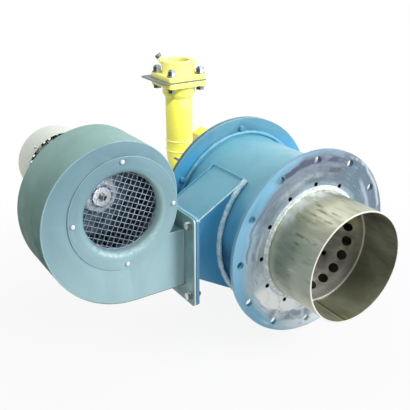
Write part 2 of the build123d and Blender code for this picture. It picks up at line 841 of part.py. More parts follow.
washer_plane = upright(dish_front_y, fan_x, fan_z)
with BuildPart() as hub_washer:
    add(ring(washer_plane, hub_washer_radius, m8.radius + seat_gap, hub_washer_thickness))

with BuildPart() as hub_screw:
    with BuildSketch(upright(washer_front_y, fan_x, fan_z)):
        RegularPolygon(m8.flats / 2, 6, major_radius=False)
    extrude(amount=m8.head)
    with BuildSketch(upright(washer_front_y, fan_x, fan_z)):
        Circle(m8.radius)
    extrude(amount=-(hub_washer_thickness + hub_screw_depth))

with BuildPart() as motor_shaft:
    with BuildSketch(upright(dish_front_y, fan_x, fan_z)):
        Circle(shaft_radius)
    extrude(amount=dish_front_y - shaft_tail_y)
    with BuildSketch(upright(dish_front_y, fan_x, fan_z)):
        Circle(m8.radius + seat_gap)
    extrude(amount=-(hub_screw_depth + bolt_tail), mode=Mode.SUBTRACT)
    chamfer(motor_shaft.faces().sort_by(Axis.Y)[-1].edges(), shaft_chamfer)

with BuildPart() as rotor_core:
    add(ring(upright(rotor_front_y, fan_x, fan_z), rotor_radius, shaft_radius + seat_gap, -rotor_length))

# ---------------------------------------------------------------- motor
bearing_seat_radius = bearing_outer_radius + seat_gap
with BuildPart() as front_shield:
    with BuildSketch(upright(fan_rear_y, fan_x, fan_z)):
        Circle(shield_flange_radius)
        Circle(shaft_radius + shield_shaft_gap, mode=Mode.SUBTRACT)
    extrude(amount=-shield_flange_thickness)
    with BuildSketch(upright(shield_back_y, fan_x, fan_z)):
        Circle(bearing_boss_radius)
    extrude(amount=bearing_recess - bearing_width)
    with BuildSketch(upright(front_bearing_y, fan_x, fan_z)):
        Circle(bearing_seat_radius)
    extrude(amount=-bearing_width, mode=Mode.SUBTRACT)
    with BuildSketch(upright(fan_rear_y)):
        with Locations(*motor_screw_places):
            Circle(m8.radius + seat_gap)
    extrude(amount=-(motor_screw_depth + blind_gap), mode=Mode.SUBTRACT)

with BuildPart() as motor_screws:
    with BuildSketch(upright(fan_rear_y - fan_sheet)):
        with Locations(*motor_screw_places):
            RegularPolygon(m8.flats / 2, 6, major_radius=False)
    extrude(amount=m8.head)
    with BuildSketch(upright(fan_rear_y - fan_sheet)):
        with Locations(*motor_screw_places):
            Circle(m8.radius)
    extrude(amount=-(fan_sheet + motor_screw_depth))

fin_root_radius = motor_radius - motor_fin_root
fin_height = motor_fin_tip_radius - fin_root_radius
box_half_angle = degrees(asin(box_width / 2 / motor_radius))
fin_angles = [360 / motor_fin_count * (k + 0.5) for k in range(motor_fin_count)]
fin_places = [
    Location((*around((0, 0), fin_root_radius + fin_height / 2, angle), 0), (0, 0, angle))
    for angle in fin_angles
    if min(angle, 360 - angle) > box_half_angle
]
with BuildPart() as motor_frame:
    with BuildSketch(upright(shield_back_y, fan_x, fan_z)):
        Circle(motor_radius)
        with Locations(*fin_places):
            Rectangle(fin_height, motor_fin_thickness)
    extrude(amount=-motor_length)
    with BuildSketch(upright(box_front_y, fan_x, fan_z)):
        with Locations(((motor_radius + box_saddle) / 2, 0)):
            Rectangle(motor_radius + box_saddle, box_width)
    extrude(amount=-box_length)
    with BuildSketch(upright(shield_back_y, fan_x, fan_z)):
        Circle(motor_bore_radius + seat_gap)
    extrude(amount=-motor_length, mode=Mode.SUBTRACT)
    with BuildSketch(sideways(fan_x, box_mid_y, fan_z)):
        Circle(lead_hole_radius)
    extrude(amount=box_seat_x - fan_x, mode=Mode.SUBTRACT)

with BuildPart() as stator_core:
    add(
        ring(
            upright(rotor_front_y, fan_x, fan_z),
            motor_bore_radius,
            rotor_radius + air_gap,
            -rotor_length,
        )
    )

rotor_back_y = rotor_front_y + rotor_length
with BuildPart() as stator_windings:
    for end_y, growth in ((rotor_front_y, winding_overhang), (rotor_back_y, -winding_overhang)):
        add(ring(upright(end_y, fan_x, fan_z), winding_outer_radius, winding_inner_radius, growth))


def bearing(y):
    """Motor bearing as one plain ring, with running clearance on the shaft."""
    plane = upright(y, fan_x, fan_z)
    return ring(plane, bearing_outer_radius, shaft_radius + shaft_gap, -bearing_width)


with BuildPart() as front_bearing:
    add(bearing(front_bearing_y))

with BuildPart() as rear_bearing:
    add(bearing(rear_bearing_y))

cowl_taper = (cowl_radius - cowl_end_radius) / (cowl_length - cowl_round)
cowl_seat_radius = cowl_radius - cowl_taper * (rear_shield_back_y - cowl_front_y) - cowl_sheet - seat_gap
cowl_screw_y = motor_back_y + rear_shield_thickness / 2
cowl_screw_radius = cowl_radius - cowl_taper * (motor_back_y - cowl_front_y)


def cowl_screw_planes(radius):
    """Planes that face outwards on the cowl's four fixing ears."""
    planes = []
    for k in range(4):
        angle = radians(45 + 90 * k)
        outward = (cos(angle), 0, sin(angle))
        planes.append(
            Plane(
                origin=(fan_x + radius * outward[0], cowl_screw_y, fan_z + radius * outward[2]),
                x_dir=(0, 1, 0),
                z_dir=outward,
            )
        )
    return planes


with BuildPart() as rear_shield:
    with BuildSketch(upright(motor_back_y, fan_x, fan_z)):
        Circle(rear_shield_radius)
        with PolarLocations(cowl_seat_radius / 2, 4, start_angle=45):
            Rectangle(cowl_seat_radius, cowl_ear_width)
        with BuildSketch(mode=Mode.INTERSECT):
            Circle(cowl_seat_radius)
    extrude(amount=-rear_shield_thickness)
    with BuildSketch(upright(rear_bearing_y, fan_x, fan_z)):
        Circle(bearing_boss_radius)
    extrude(amount=rear_bearing_y - motor_back_y)
    with BuildSketch(upright(rear_bearing_y, fan_x, fan_z)):
        Circle(bearing_seat_radius)
    extrude(amount=-bearing_width, mode=Mode.SUBTRACT)
    with BuildSketch(upright(motor_back_y, fan_x, fan_z)):
        Circle(shaft_radius + shield_shaft_gap)
    extrude(amount=-rear_shield_thickness, mode=Mode.SUBTRACT)
    with BuildSketch(*cowl_screw_planes(cowl_screw_radius)):
        Circle(m5.radius + seat_gap)
    extrude(amount=-(cowl_screw_depth + blind_gap), mode=Mode.SUBTRACT)

cowl_end_y = cowl_back_y - cowl_sheet
cowl_shoulder_radius = cowl_end_radius - cowl_round
cowl_shoulder_y = cowl_back_y - cowl_round
with BuildPart() as fan_cowl:
    with BuildSketch(fan_half_plane):
        with BuildLine():
            Line((cowl_radius - cowl_sheet, cowl_front_y), (cowl_radius, cowl_front_y))
            Line((cowl_radius, cowl_front_y), (cowl_end_radius, cowl_shoulder_y))
            CenterArc((cowl_shoulder_radius, cowl_shoulder_y), cowl_round, 0, 90)
            Line((cowl_shoulder_radius, cowl_back_y), (0, cowl_back_y))
            Line((0, cowl_back_y), (0, cowl_end_y))
            Line((0, cowl_end_y), (cowl_shoulder_radius, cowl_end_y))
            CenterArc((cowl_shoulder_radius, cowl_shoulder_y), cowl_round - cowl_sheet, 0, 90)
            Line(
                (cowl_end_radius - cowl_sheet, cowl_shoulder_y),
                (cowl_radius - cowl_sheet, cowl_front_y),
            )
        make_face()
    revolve(axis=fan_axis)
    with BuildSketch(upright(cowl_end_y, fan_x, fan_z)):
        with PolarLocations((cowl_slot_inner_radius + cowl_slot_outer_radius) / 2, cowl_slot_count):
            SlotOverall(cowl_slot_outer_radius - cowl_slot_inner_radius, cowl_slot_width)
    extrude(amount=-cowl_sheet, mode=Mode.SUBTRACT)
    with BuildSketch(*cowl_screw_planes(cowl_screw_radius)):
        Circle(m5.radius + seat_gap)
    extrude(amount=-(cowl_screw_depth + blind_gap), mode=Mode.SUBTRACT)

with BuildPart() as cowl_screws:
    with BuildSketch(*cowl_screw_planes(cowl_screw_radius)):
        Circle(m5.flats / 2)
    extrude(amount=cowl_screw_head)
    with BuildSketch(*cowl_screw_planes(cowl_screw_radius)):
        Circle(m5.radius)
    extrude(amount=-cowl_screw_depth)

blade_span = cooling_fan_radius - cooling_fan_hub_radius + cooling_blade_root
with BuildPart() as cooling_fan:
    add(
        ring(
            upright(cooling_fan_y, fan_x, fan_z),
            cooling_fan_hub_radius,
            shaft_radius + seat_gap,
            -cooling_fan_width,
        )
    )
    add(
        ring(
            upright(cooling_fan_y, fan_x, fan_z),
            cooling_fan_radius - cooling_fan_disc_setback,
            shaft_radius + seat_gap,
            -cooling_fan_sheet,
        )
    )
    with BuildSketch(upright(cooling_fan_y, fan_x, fan_z)):
        with PolarLocations(cooling_fan_radius - blade_span / 2, cooling_blade_count):
            Rectangle(blade_span, cooling_fan_sheet)
    extrude(amount=-cooling_fan_width)

# ---------------------------------------------------------------- terminal box
box_screw_places = corner_places(box_length - 2 * box_screw_inset, box_width - 2 * box_screw_inset)
gland_x = box_seat_x + box_height / 2
gland_z = fan_z - box_width / 2
with BuildPart() as terminal_box:
    with BuildSketch(sideways(box_seat_x, box_mid_y, fan_z)):
        RectangleRounded(box_length, box_width, box_corner)
    extrude(amount=box_height)
    with BuildSketch(sideways(box_seat_x + box_wall, box_mid_y, fan_z)):
        RectangleRounded(box_length - 2 * box_wall, box_width - 2 * box_wall, box_corner - box_wall)
        with Locations(*box_screw_places):
            Circle(box_post_radius, mode=Mode.SUBTRACT)
    extrude(amount=box_height - box_wall, mode=Mode.SUBTRACT)
    with BuildSketch(sideways(box_mouth_x, box_mid_y, fan_z)):
        with Locations(*box_screw_places):
            Circle(m5.radius + seat_gap)
    extrude(amount=-(lid_screw_depth + blind_gap), mode=Mode.SUBTRACT)
    with BuildSketch(sideways(box_seat_x, box_mid_y, fan_z)):
        Circle(lead_hole_radius)
    extrude(amount=box_wall, mode=Mode.SUBTRACT)
    with BuildSketch(level(gland_z, gland_x, box_mid_y)):
        Circle(gland_radius + seat_gap)
    extrude(amount=box_wall, mode=Mode.SUBTRACT)

with BuildPart() as terminal_lid:
    with BuildSketch(sideways(box_mouth_x, box_mid_y, fan_z)):
        RectangleRounded(box_length, box_width, box_corner)
        with Locations(*box_screw_places):
            Circle(m5.radius + seat_gap, mode=Mode.SUBTRACT)
    extrude(amount=box_lid_thickness)
    fillet(terminal_lid.faces().sort_by(Axis.X)[-1].outer_wire().edges(), box_lid_round)

lid_screw_plane = sideways(box_mouth_x + box_lid_thickness, box_mid_y, fan_z)
with BuildPart() as lid_screws:
    with BuildSketch(lid_screw_plane):
        with Locations(*box_screw_places):
            Circle(m5.flats / 2)
    extrude(amount=lid_screw_head)
    with BuildSketch(lid_screw_plane):
        with Locations(*box_screw_places):
            Circle(m5.radius)
    extrude(amount=-(box_lid_thickness + lid_screw_depth))

with BuildPart() as terminal_block:
    with BuildSketch(sideways(box_seat_x + box_wall, box_mid_y + lead_hole_radius, fan_z)):
        with Locations((terminal_block_length / 2, 0)):
            Rectangle(terminal_block_length, terminal_block_width)
    extrude(amount=terminal_block_height)

with BuildPart() as cable_gland:
    with BuildSketch(level(gland_z, gland_x, box_mid_y)):
        RegularPolygon(gland_flats / 2, 6, major_radius=False)
        Circle(gland_bore_radius, mode=Mode.SUBTRACT)
    extrude(amount=-gland_nut_length)
    with BuildSketch(level(gland_z - gland_nut_length, gland_x, box_mid_y)):
        Circle(gland_cap_radius)
        Circle(gland_bore_radius, mode=Mode.SUBTRACT)
    extrude(amount=gland_nut_length - gland_length)
    fillet(cable_gland.faces().sort_by(Axis.Z)[0].outer_wire().edges(), gland_round)
    with BuildSketch(level(gland_z, gland_x, box_mid_y)):
        Circle(gland_radius)
        Circle(gland_bore_radius, mode=Mode.SUBTRACT)
    extrude(amount=gland_thread)

# ---------------------------------------------------------------- gas line
with BuildPart() as gas_head:
    add(ring(upright(head_front_y), head_radius, head_radius - head_wall, -head_length))
    with BuildSketch(upright(head_front_y)):
        Circle(head_radius)
        with PolarLocations(head_port_circle_radius, head_port_count):
            Circle(head_port / 2, mode=Mode.SUBTRACT)
    extrude(amount=-head_wall)
    add(ring(upright(head_back_y), head_radius, gas_pipe_radius + seat_gap, head_wall))

with BuildPart() as gas_lance:
    add(ring(upright(lance_front_y), gas_pipe_radius, gas_pipe_bore, lance_front_y - lance_back_y))

with BuildPart() as lance_flange:
    with BuildSketch(upright(cover_back_y)):
        Circle(lance_flange_radius)
        Circle(gas_pipe_radius + seat_gap, mode=Mode.SUBTRACT)
        with Locations(*lance_bolt_places):
            Circle(m6.radius + hole_gap, mode=Mode.SUBTRACT)
    extrude(amount=-lance_flange_thickness)
    with BuildSketch(upright(cover_back_y + lance_flange_thickness)):
        Circle(lance_collar_radius)
        Circle(gas_pipe_radius + seat_gap, mode=Mode.SUBTRACT)
    extrude(amount=-lance_collar_length)

lance_bolt_plane = Plane(
    origin=(0, cover_back_y + lance_flange_thickness, 0),
    x_dir=(1, 0, 0),
    z_dir=(0, 1, 0),
)
with BuildPart() as lance_bolts:
    add(bolt_and_nut(m6, lance_bolt_plane, lance_bolt_places, lance_flange_thickness + cover_thickness))

elbow_axis = Axis((0, lance_back_y, elbow_radius), (1, 0, 0))
with BuildPart() as gas_elbow:
    with BuildSketch(upright(lance_back_y)):
        Circle(gas_pipe_radius)
        Circle(gas_pipe_bore, mode=Mode.SUBTRACT)
    revolve(axis=elbow_axis, revolution_arc=90)

spool_weld_radius = gas_pipe_radius + spool_weld_rise
with BuildPart() as riser_spool:
    add(ring(level(elbow_radius, 0, riser_y), gas_pipe_radius, gas_pipe_bore, spool_height))
    for z in (elbow_radius, spool_top_z - spool_weld_height):
        add(ring(level(z, 0, riser_y), spool_weld_radius, gas_pipe_bore, spool_weld_height))
    weld_edges = riser_spool.edges().filter_by(GeomType.CIRCLE)
    fillet(weld_edges.filter_by(lambda edge: edge.radius > gas_pipe_radius + seat_gap), spool_weld_round)

with BuildPart() as gas_riser:
    add(ring(level(spool_top_z, 0, riser_y), gas_pipe_radius, gas_pipe_bore, riser_height))


def square_flange(z):
    """Square gas flange with its four bolt holes, before its neck or hub is added."""
    with BuildPart() as piece:
        with BuildSketch(level(z, 0, riser_y)):
            RectangleRounded(gas_flange_width, gas_flange_depth, gas_flange_corner)
            with Locations(*gas_bolt_places):
                Circle(m12.radius + hole_gap, mode=Mode.SUBTRACT)
        extrude(amount=gas_flange_thickness)
    return piece.part


with BuildPart() as lower_gas_flange:
    add(square_flange(neck_top_z))
    with BuildSketch(riser_half_plane):
        with BuildLine():
            Polyline(
                (gas_pipe_bore, neck_base_z),
                (gas_pipe_radius, neck_base_z),
                (neck_radius, neck_base_z + neck_taper),
                (neck_radius, neck_top_z),
                (gas_pipe_bore, neck_top_z),
                close=True,
            )
        make_face()
    revolve(axis=riser_axis)
    with BuildSketch(level(neck_top_z, 0, riser_y)):
        Circle(gas_pipe_bore)
    extrude(amount=gas_flange_thickness, mode=Mode.SUBTRACT)

with BuildPart() as gas_gaskets:
    for z in (lower_gasket_z, upper_gasket_z):
        add(ring(level(z, 0, riser_y), gas_gasket_radius, gas_pipe_bore, gas_gasket_thickness))

with BuildPart() as slip_plate:
    with BuildSketch(level(slip_plate_z, 0, riser_y)):
        with Locations((-slip_plate_overhang / 2, slip_plate_back / 2)):
            RectangleRounded(
                gas_flange_width + slip_plate_overhang,
                gas_flange_depth + slip_plate_back,
                gas_flange_corner,
            )
        Circle(gas_pipe_bore, mode=Mode.SUBTRACT)
        with Locations(*gas_bolt_places):
            Circle(m12.radius + hole_gap, mode=Mode.SUBTRACT)
    extrude(amount=slip_plate_thickness)

with BuildPart() as upper_gas_flange:
    add(square_flange(upper_flange_z))
    with BuildSketch(level(hub_base_z, 0, riser_y)):
        Circle(gas_hub_radius)
    extrude(amount=gas_hub_height)
    chamfer(upper_gas_flange.faces().sort_by(Axis.Z)[-1].edges(), gas_hub_chamfer)
    with BuildSketch(plug_root_plane):
        Circle(plug_boss_radius)
    extrude(amount=plug_boss_length)
    with BuildSketch(level(upper_flange_z, 0, riser_y)):
        Circle(gas_pipe_bore)
    extrude(amount=gas_flange_thickness + gas_hub_height, mode=Mode.SUBTRACT)
    with BuildSketch(plug_seat_plane):
        Circle(m8.radius + seat_gap)
    extrude(amount=-(plug_depth + blind_gap), mode=Mode.SUBTRACT)

with BuildPart() as hub_plug:
    with BuildSketch(plug_seat_plane):
        RegularPolygon(m8.flats / 2, 6, major_radius=False)
    extrude(amount=plug_head)
    with BuildSketch(plug_seat_plane):
        Circle(m8.radius)
    extrude(amount=-plug_depth)

gas_grip = 2 * gas_flange_thickness + 2 * gas_gasket_thickness + slip_plate_thickness
gas_bolt_plane = Plane(origin=(0, riser_y, neck_top_z), x_dir=(1, 0, 0), z_dir=(0, 0, -1))
with BuildPart() as gas_bolts:
    add(bolt_and_nut(m12, gas_bolt_plane, gas_bolt_places, gas_grip))

# ---------------------------------------------------------------- fittings on the rear cover
with BuildPart() as stub_pipe:
    add(
        ring(
            upright(cover_y, stub_x, stub_z),
            stub_diameter / 2,
            stub_diameter / 2 - stub_wall,
            -(cover_thickness + stub_reach),
        )
    )

cap_back_y = cover_back_y + stub_reach + cap_gap + cap_end_wall
with BuildPart() as stub_cap:
    with BuildSketch(upright(cap_back_y - cap_length, stub_x, stub_z)):
        RegularPolygon(cap_flats / 2, 6, major_radius=False, rotation=30)
    extrude(amount=-cap_length)
    with BuildSketch(upright(cap_back_y - cap_length, stub_x, stub_z)):
        Circle(stub_diameter / 2 + seat_gap)
    extrude(amount=cap_end_wall - cap_length, mode=Mode.SUBTRACT)

collar_places = [ignition_place, probe_place]
insulator_tip_y = cone_electrode_y - insulator_lead
insulator_end_y = cover_back_y + insulator_reach
electrode_tip_y = insulator_tip_y - electrode_lead


def insulator(place):
    """Ceramic tube of an electrode, from in front of the cone to behind the cover."""
    return ring(
        upright(insulator_tip_y, *place),
        insulator_radius,
        electrode_radius + seat_gap,
        insulator_tip_y - insulator_end_y,
    )


def electrode(place):
    """Wire of an electrode, with a round terminal on its rear end."""
    with BuildPart() as piece:
        with BuildSketch(upright(electrode_tip_y, *place)):
            Circle(electrode_radius)
        extrude(amount=electrode_tip_y - insulator_end_y - electrode_tail)
        with BuildSketch(upright(insulator_end_y, *place)):
            Circle(terminal_radius)
        extrude(amount=-electrode_tail)
    return piece.part


with BuildPart() as insulators:
    for place in collar_places:
        add(insulator(place))

with BuildPart() as ignition_electrode:
    add(electrode(ignition_place))

with BuildPart() as flame_probe:
    add(electrode(probe_place))

with BuildPart() as electrode_collars:
    with BuildSketch(upright(cover_back_y)):
        with Locations(*collar_places):
            Circle(collar_radius)
            Circle(insulator_radius + seat_gap, mode=Mode.SUBTRACT)
    extrude(amount=-collar_length)

# ---------------------------------------------------------------- labels and files
pieces = {
    "front_flange": front_flange,
    "flame_tube": flame_tube,
    "flame_cone": flame_cone,
    "drum": drum,
    "rear_flange": rear_flange,
    "cover_gasket": cover_gasket,
    "rear_cover": rear_cover,
    "cover_bolts": cover_bolts,
    "air_duct": air_duct,
    "duct_plate": duct_plate,
    "outlet_gasket": outlet_gasket,
    "fan_flange": fan_flange,
    "outlet_bolts": outlet_bolts,
    "fan_front_plate": fan_front_plate,
    "fan_scroll": fan_scroll,
    "fan_rear_plate": fan_rear_plate,
    "inlet_ring": inlet_ring,
    "inlet_screws": inlet_screws,
    "wire_guard": wire_guard,
    "impeller": impeller,
    "impeller_hub": impeller_hub,
    "hub_washer": hub_washer,
    "hub_screw": hub_screw,
    "motor_shaft": motor_shaft,
    "rotor_core": rotor_core,
    "cooling_fan": cooling_fan,
    "front_shield": front_shield,
    "motor_screws": motor_screws,
    "motor_frame": motor_frame,
    "stator_core": stator_core,
    "stator_windings": stator_windings,
    "front_bearing": front_bearing,
    "rear_bearing": rear_bearing,
    "rear_shield": rear_shield,
    "fan_cowl": fan_cowl,
    "cowl_screws": cowl_screws,
    "terminal_box": terminal_box,
    "terminal_lid": terminal_lid,
    "lid_screws": lid_screws,
    "terminal_block": terminal_block,
    "cable_gland": cable_gland,
    "gas_head": gas_head,
    "gas_lance": gas_lance,
    "lance_flange": lance_flange,
    "lance_bolts": lance_bolts,
    "gas_elbow": gas_elbow,
    "riser_spool": riser_spool,
    "gas_riser": gas_riser,
    "lower_gas_flange": lower_gas_flange,
    "gas_gaskets": gas_gaskets,
    "slip_plate": slip_plate,
    "upper_gas_flange": upper_gas_flange,
    "hub_plug": hub_plug,
    "gas_bolts": gas_bolts,
    "stub_pipe": stub_pipe,
    "stub_cap": stub_cap,
    "insulators": insulators,
    "ignition_electrode": ignition_electrode,
    "flame_probe": flame_probe,
    "electrode_collars": electrode_collars,
}
for name, piece in pieces.items():
    piece.part.label = name
    export_step(piece.part, f"parts/{name}.step")
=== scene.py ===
import json
from math import asin, cos, pi, radians, sin, sqrt

import bmesh
import bpy
from mathutils import Matrix, Vector


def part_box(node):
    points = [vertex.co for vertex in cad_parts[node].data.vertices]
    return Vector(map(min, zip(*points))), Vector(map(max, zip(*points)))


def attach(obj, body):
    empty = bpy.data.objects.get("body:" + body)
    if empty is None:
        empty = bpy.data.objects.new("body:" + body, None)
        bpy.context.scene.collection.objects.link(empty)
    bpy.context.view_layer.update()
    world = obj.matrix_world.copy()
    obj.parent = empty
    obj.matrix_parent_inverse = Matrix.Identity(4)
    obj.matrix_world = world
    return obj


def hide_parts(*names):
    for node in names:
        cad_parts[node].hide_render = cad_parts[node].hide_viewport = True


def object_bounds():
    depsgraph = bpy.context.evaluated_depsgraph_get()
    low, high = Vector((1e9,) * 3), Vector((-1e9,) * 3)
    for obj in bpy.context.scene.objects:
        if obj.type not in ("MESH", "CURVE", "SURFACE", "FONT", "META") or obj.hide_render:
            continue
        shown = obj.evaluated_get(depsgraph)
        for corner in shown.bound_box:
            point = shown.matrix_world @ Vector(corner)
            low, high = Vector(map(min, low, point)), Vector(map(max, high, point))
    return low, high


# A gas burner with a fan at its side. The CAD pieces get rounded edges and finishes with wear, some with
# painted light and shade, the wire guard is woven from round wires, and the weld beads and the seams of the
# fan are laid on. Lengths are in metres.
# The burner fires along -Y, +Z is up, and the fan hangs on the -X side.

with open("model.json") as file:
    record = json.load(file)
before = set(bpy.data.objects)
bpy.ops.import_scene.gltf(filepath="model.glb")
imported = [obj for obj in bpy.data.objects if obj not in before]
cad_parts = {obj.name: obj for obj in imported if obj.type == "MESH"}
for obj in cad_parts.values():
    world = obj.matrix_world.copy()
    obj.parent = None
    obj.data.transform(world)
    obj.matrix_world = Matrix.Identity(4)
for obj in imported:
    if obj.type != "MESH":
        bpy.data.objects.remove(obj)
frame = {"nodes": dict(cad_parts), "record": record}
cad_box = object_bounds()
mounts = {mount["name"]: mount["dims"] for mount in frame["record"]["mounts"]}
slot_of = {part["node"]: part["material_slot"] for part in frame["record"]["subparts"]}

MM = 0.001


# ---------------- sizes read from the frame
def low(node):
    """Lowest corner of a CAD node."""
    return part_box(node)[0]


def high(node):
    """Highest corner of a CAD node."""
    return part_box(node)[1]


def middle(node):
    """Centre of a CAD node's box."""
    return (low(node) + high(node)) / 2


tube_radius = high("flame_tube").x
tube_front = low("flame_tube").y
drum_radius = high("drum").x
drum_back = high("drum").y
fan_centre = middle("inlet_ring")
fan_front = low("fan_front_plate").y
ring_front = low("inlet_ring").y
ring_radius = (high("inlet_ring").x - low("inlet_ring").x) / 2
throat_radius = (high("wire_guard").x - low("wire_guard").x) / 2
riser_centre = middle("gas_riser")
riser_radius = (high("gas_riser").x - low("gas_riser").x) / 2
duct_near = low("air_duct").y
duct_far = high("air_duct").y
duct_mouth_x = high("duct_plate").x
lining_circle = mounts["lining_ring"]["pcd_mm"] / 2 * MM
lining_count = mounts["lining_ring"]["count"]
gas_bore = mounts["gas_inlet"]["r_mm"] * MM

# Sizes that the frame's boxes don't give
duct_mouth_top = 54 * MM
duct_mouth_bottom = -46 * MM
duct_root_z = 124 * MM
cone_hole_circle = 90 * MM
cone_hole_count = 18
cone_hole_radius = 10 * MM
cone_stretch = 1.94  # length along the cone's sheet for each unit of radius


# ---------------- colours and materials
def rgb(red, green, blue):
    """Colour written as it should look on a screen, as the shader wants it."""
    linear = []
    for level in (red / 255, green / 255, blue / 255):
        linear.append(level / 12.92 if level <= 0.04045 else ((level + 0.055) / 1.055) ** 2.4)
    return (*linear, 1.0)


def darker(colour, share):
    """A colour with its levels lowered to a share."""
    return tuple(level * share for level in colour)


class Nodes:
    """A node tree that is built up step by step."""

    def __init__(self, graph):
        self.graph = graph

    def add(self, kind, sockets=None, **settings):
        """A node, with its settings and the values or links of its input sockets."""
        node = self.graph.nodes.new(kind)
        for key, value in settings.items():
            setattr(node, key, value)
        for key, value in (sockets or {}).items():
            self.join(value, node.inputs[key])
        return node

    def join(self, value, socket):
        """Links an output to a socket, or sets the socket to a plain value."""
        if isinstance(value, bpy.types.NodeSocket):
            self.graph.links.new(value, socket)
        else:
            socket.default_value = value

    def math(self, operation, first, second=0.0, clamp=False):
        """One arithmetic step."""
        node = self.add("ShaderNodeMath", {0: first, 1: second}, operation=operation, use_clamp=clamp)
        return node.outputs[0]

    def plus(self, first, *others):
        """Sum of two or more values."""
        for other in others:
            first = self.math("ADD", first, other)
        return first

    def less(self, first, second):
        """Difference of two values."""
        return self.math("SUBTRACT", first, second)

    def times(self, first, *others):
        """Product of two or more values."""
        for other in others:
            first = self.math("MULTIPLY", first, other)
        return first

    def vector(self, x=0.0, y=0.0, z=0.0):
        """Three values as one place."""
        return self.add("ShaderNodeCombineXYZ", {0: x, 1: y, 2: z}).outputs[0]


class Finish(Nodes):
    """A procedural finish: one Principled shader, with patterns on Object coordinates."""

    def __init__(self, name, roughness=0.5, metallic=0.0, coat=0.0, coat_roughness=0.1):
        self.material = bpy.data.materials.new(name)
        self.material.use_nodes = True
        super().__init__(self.material.node_tree)
        self.shader = self.graph.nodes["Principled BSDF"]
        self.shader.inputs["Roughness"].default_value = roughness
        self.shader.inputs["Metallic"].default_value = metallic
        self.shader.inputs["Coat Weight"].default_value = coat
        self.shader.inputs["Coat Roughness"].default_value = coat_roughness
        source = self.add("ShaderNodeTexCoord").outputs
        self.place = source["Object"]
        self.x, self.y, self.z = self.add("ShaderNodeSeparateXYZ", {0: self.place}).outputs
        facing = self.add("ShaderNodeSeparateXYZ", {0: source["Normal"]})
        self.facing_x, self.facing_y, self.facing_z = facing.outputs

    def spread(self, value, start, end, to_start=0.0, to_end=1.0):
        """Value mapped smoothly from one span to another and held at its ends."""
        sockets = {0: value, 1: start, 2: end, 3: to_start, 4: to_end}
        return self.add("ShaderNodeMapRange", sockets, interpolation_type="SMOOTHSTEP").outputs[0]

    def noise(self, scale, detail, stretch=(1, 1, 1), place=None, distortion=0.0):
        """Soft noise between 0 and 1. Scale counts blotches per metre, before the stretch."""
        turn = self.add("ShaderNodeMapping", {"Vector": place or self.place, "Scale": stretch}).outputs[0]
        sockets = {"Vector": turn, "Scale": scale, "Detail": detail, "Distortion": distortion}
        return self.add("ShaderNodeTexNoise", sockets).outputs[0]

    def blotches(self, scale, detail, start=0.35, end=0.65, **where):
        """Noise pulled apart into blotches: 0 below the start, 1 above the end."""
        return self.spread(self.noise(scale, detail, **where), start, end)

    def patch(self, value, start, end, soft):
        """1 between two values, fading on both sides."""
        rise = self.spread(value, start - soft, start + soft)
        fall = self.spread(value, end - soft, end + soft, 1.0, 0.0)
        return self.times(rise, fall)

    def away(self, across, along, across_centre=0.0, along_centre=0.0):
        """Distance from an axis, from two coordinates."""
        first = self.less(across, across_centre)
        second = self.less(along, along_centre)
        return self.math("SQRT", self.plus(self.times(first, first), self.times(second, second)))

    def from_fan_axis(self):
        """Distance from the fan's axis."""
        return self.away(self.x, self.z, fan_centre.x, fan_centre.z)

    def turn(self):
        """Angle round the burner's axis in degrees, 0 at +X and 90 at the top."""
        return self.times(self.math("ARCTAN2", self.z, self.x), 180 / pi)

    def mix(self, factor, first, second):
        """Blend of two colours."""
        return self.add("ShaderNodeMix", {0: factor, 6: first, 7: second}, data_type="RGBA").outputs[2]

    def shade(self, factor, strength, tone, over):
        """A tone laid over another one where the factor is high."""
        return self.mix(self.math("MULTIPLY", factor, strength, True), tone, rgb(*over))

    def layers(self, tone, *washes):
        """Tones laid over one another: the value that each follows, its span, strength and colour."""
        for value, start, end, strength, over in washes:
            tone = self.shade(self.spread(value, start, end), strength, tone, over)
        return tone

    def colour(self, value):
        """Sets the surface's colour."""
        self.join(value, self.shader.inputs["Base Color"])

    def roughness(self, value, smooth, rough):
        """Roughness that follows a noise between two values."""
        self.join(self.spread(value, 0.3, 0.7, smooth, rough), self.shader.inputs["Roughness"])

    def bump(self, *layers):
        """Bumps stacked on each other, each a height between 0 and 1 and its depth in metres."""
        normal = None
        for height, depth in layers:
            node = self.add("ShaderNodeBump", {"Distance": depth, "Height": height})
            if normal is not None:
                self.join(normal, node.inputs["Normal"])
            normal = node.outputs[0]
        self.join(normal, self.shader.inputs["Normal"])
        return self.material


# Where painted light and shade lie, and where the lip's paint wears
top_shade_start, top_shade_end = 0.13, 0.20  # heights between which painted shade dulls the enamel high up
outlet_left, outlet_right = -0.30, -0.26  # painted shade on the sheet over the fan's outlet, along X
outlet_high, outlet_low = 0.10, 0.07  # and its heights
lip_inner, lip_outer = 73.5 * MM, 80 * MM  # rolled lip of the fan's throat
lip_high, lip_low = 0.090, 0.050  # heights between which the lip shows paint wear and a painted highlight
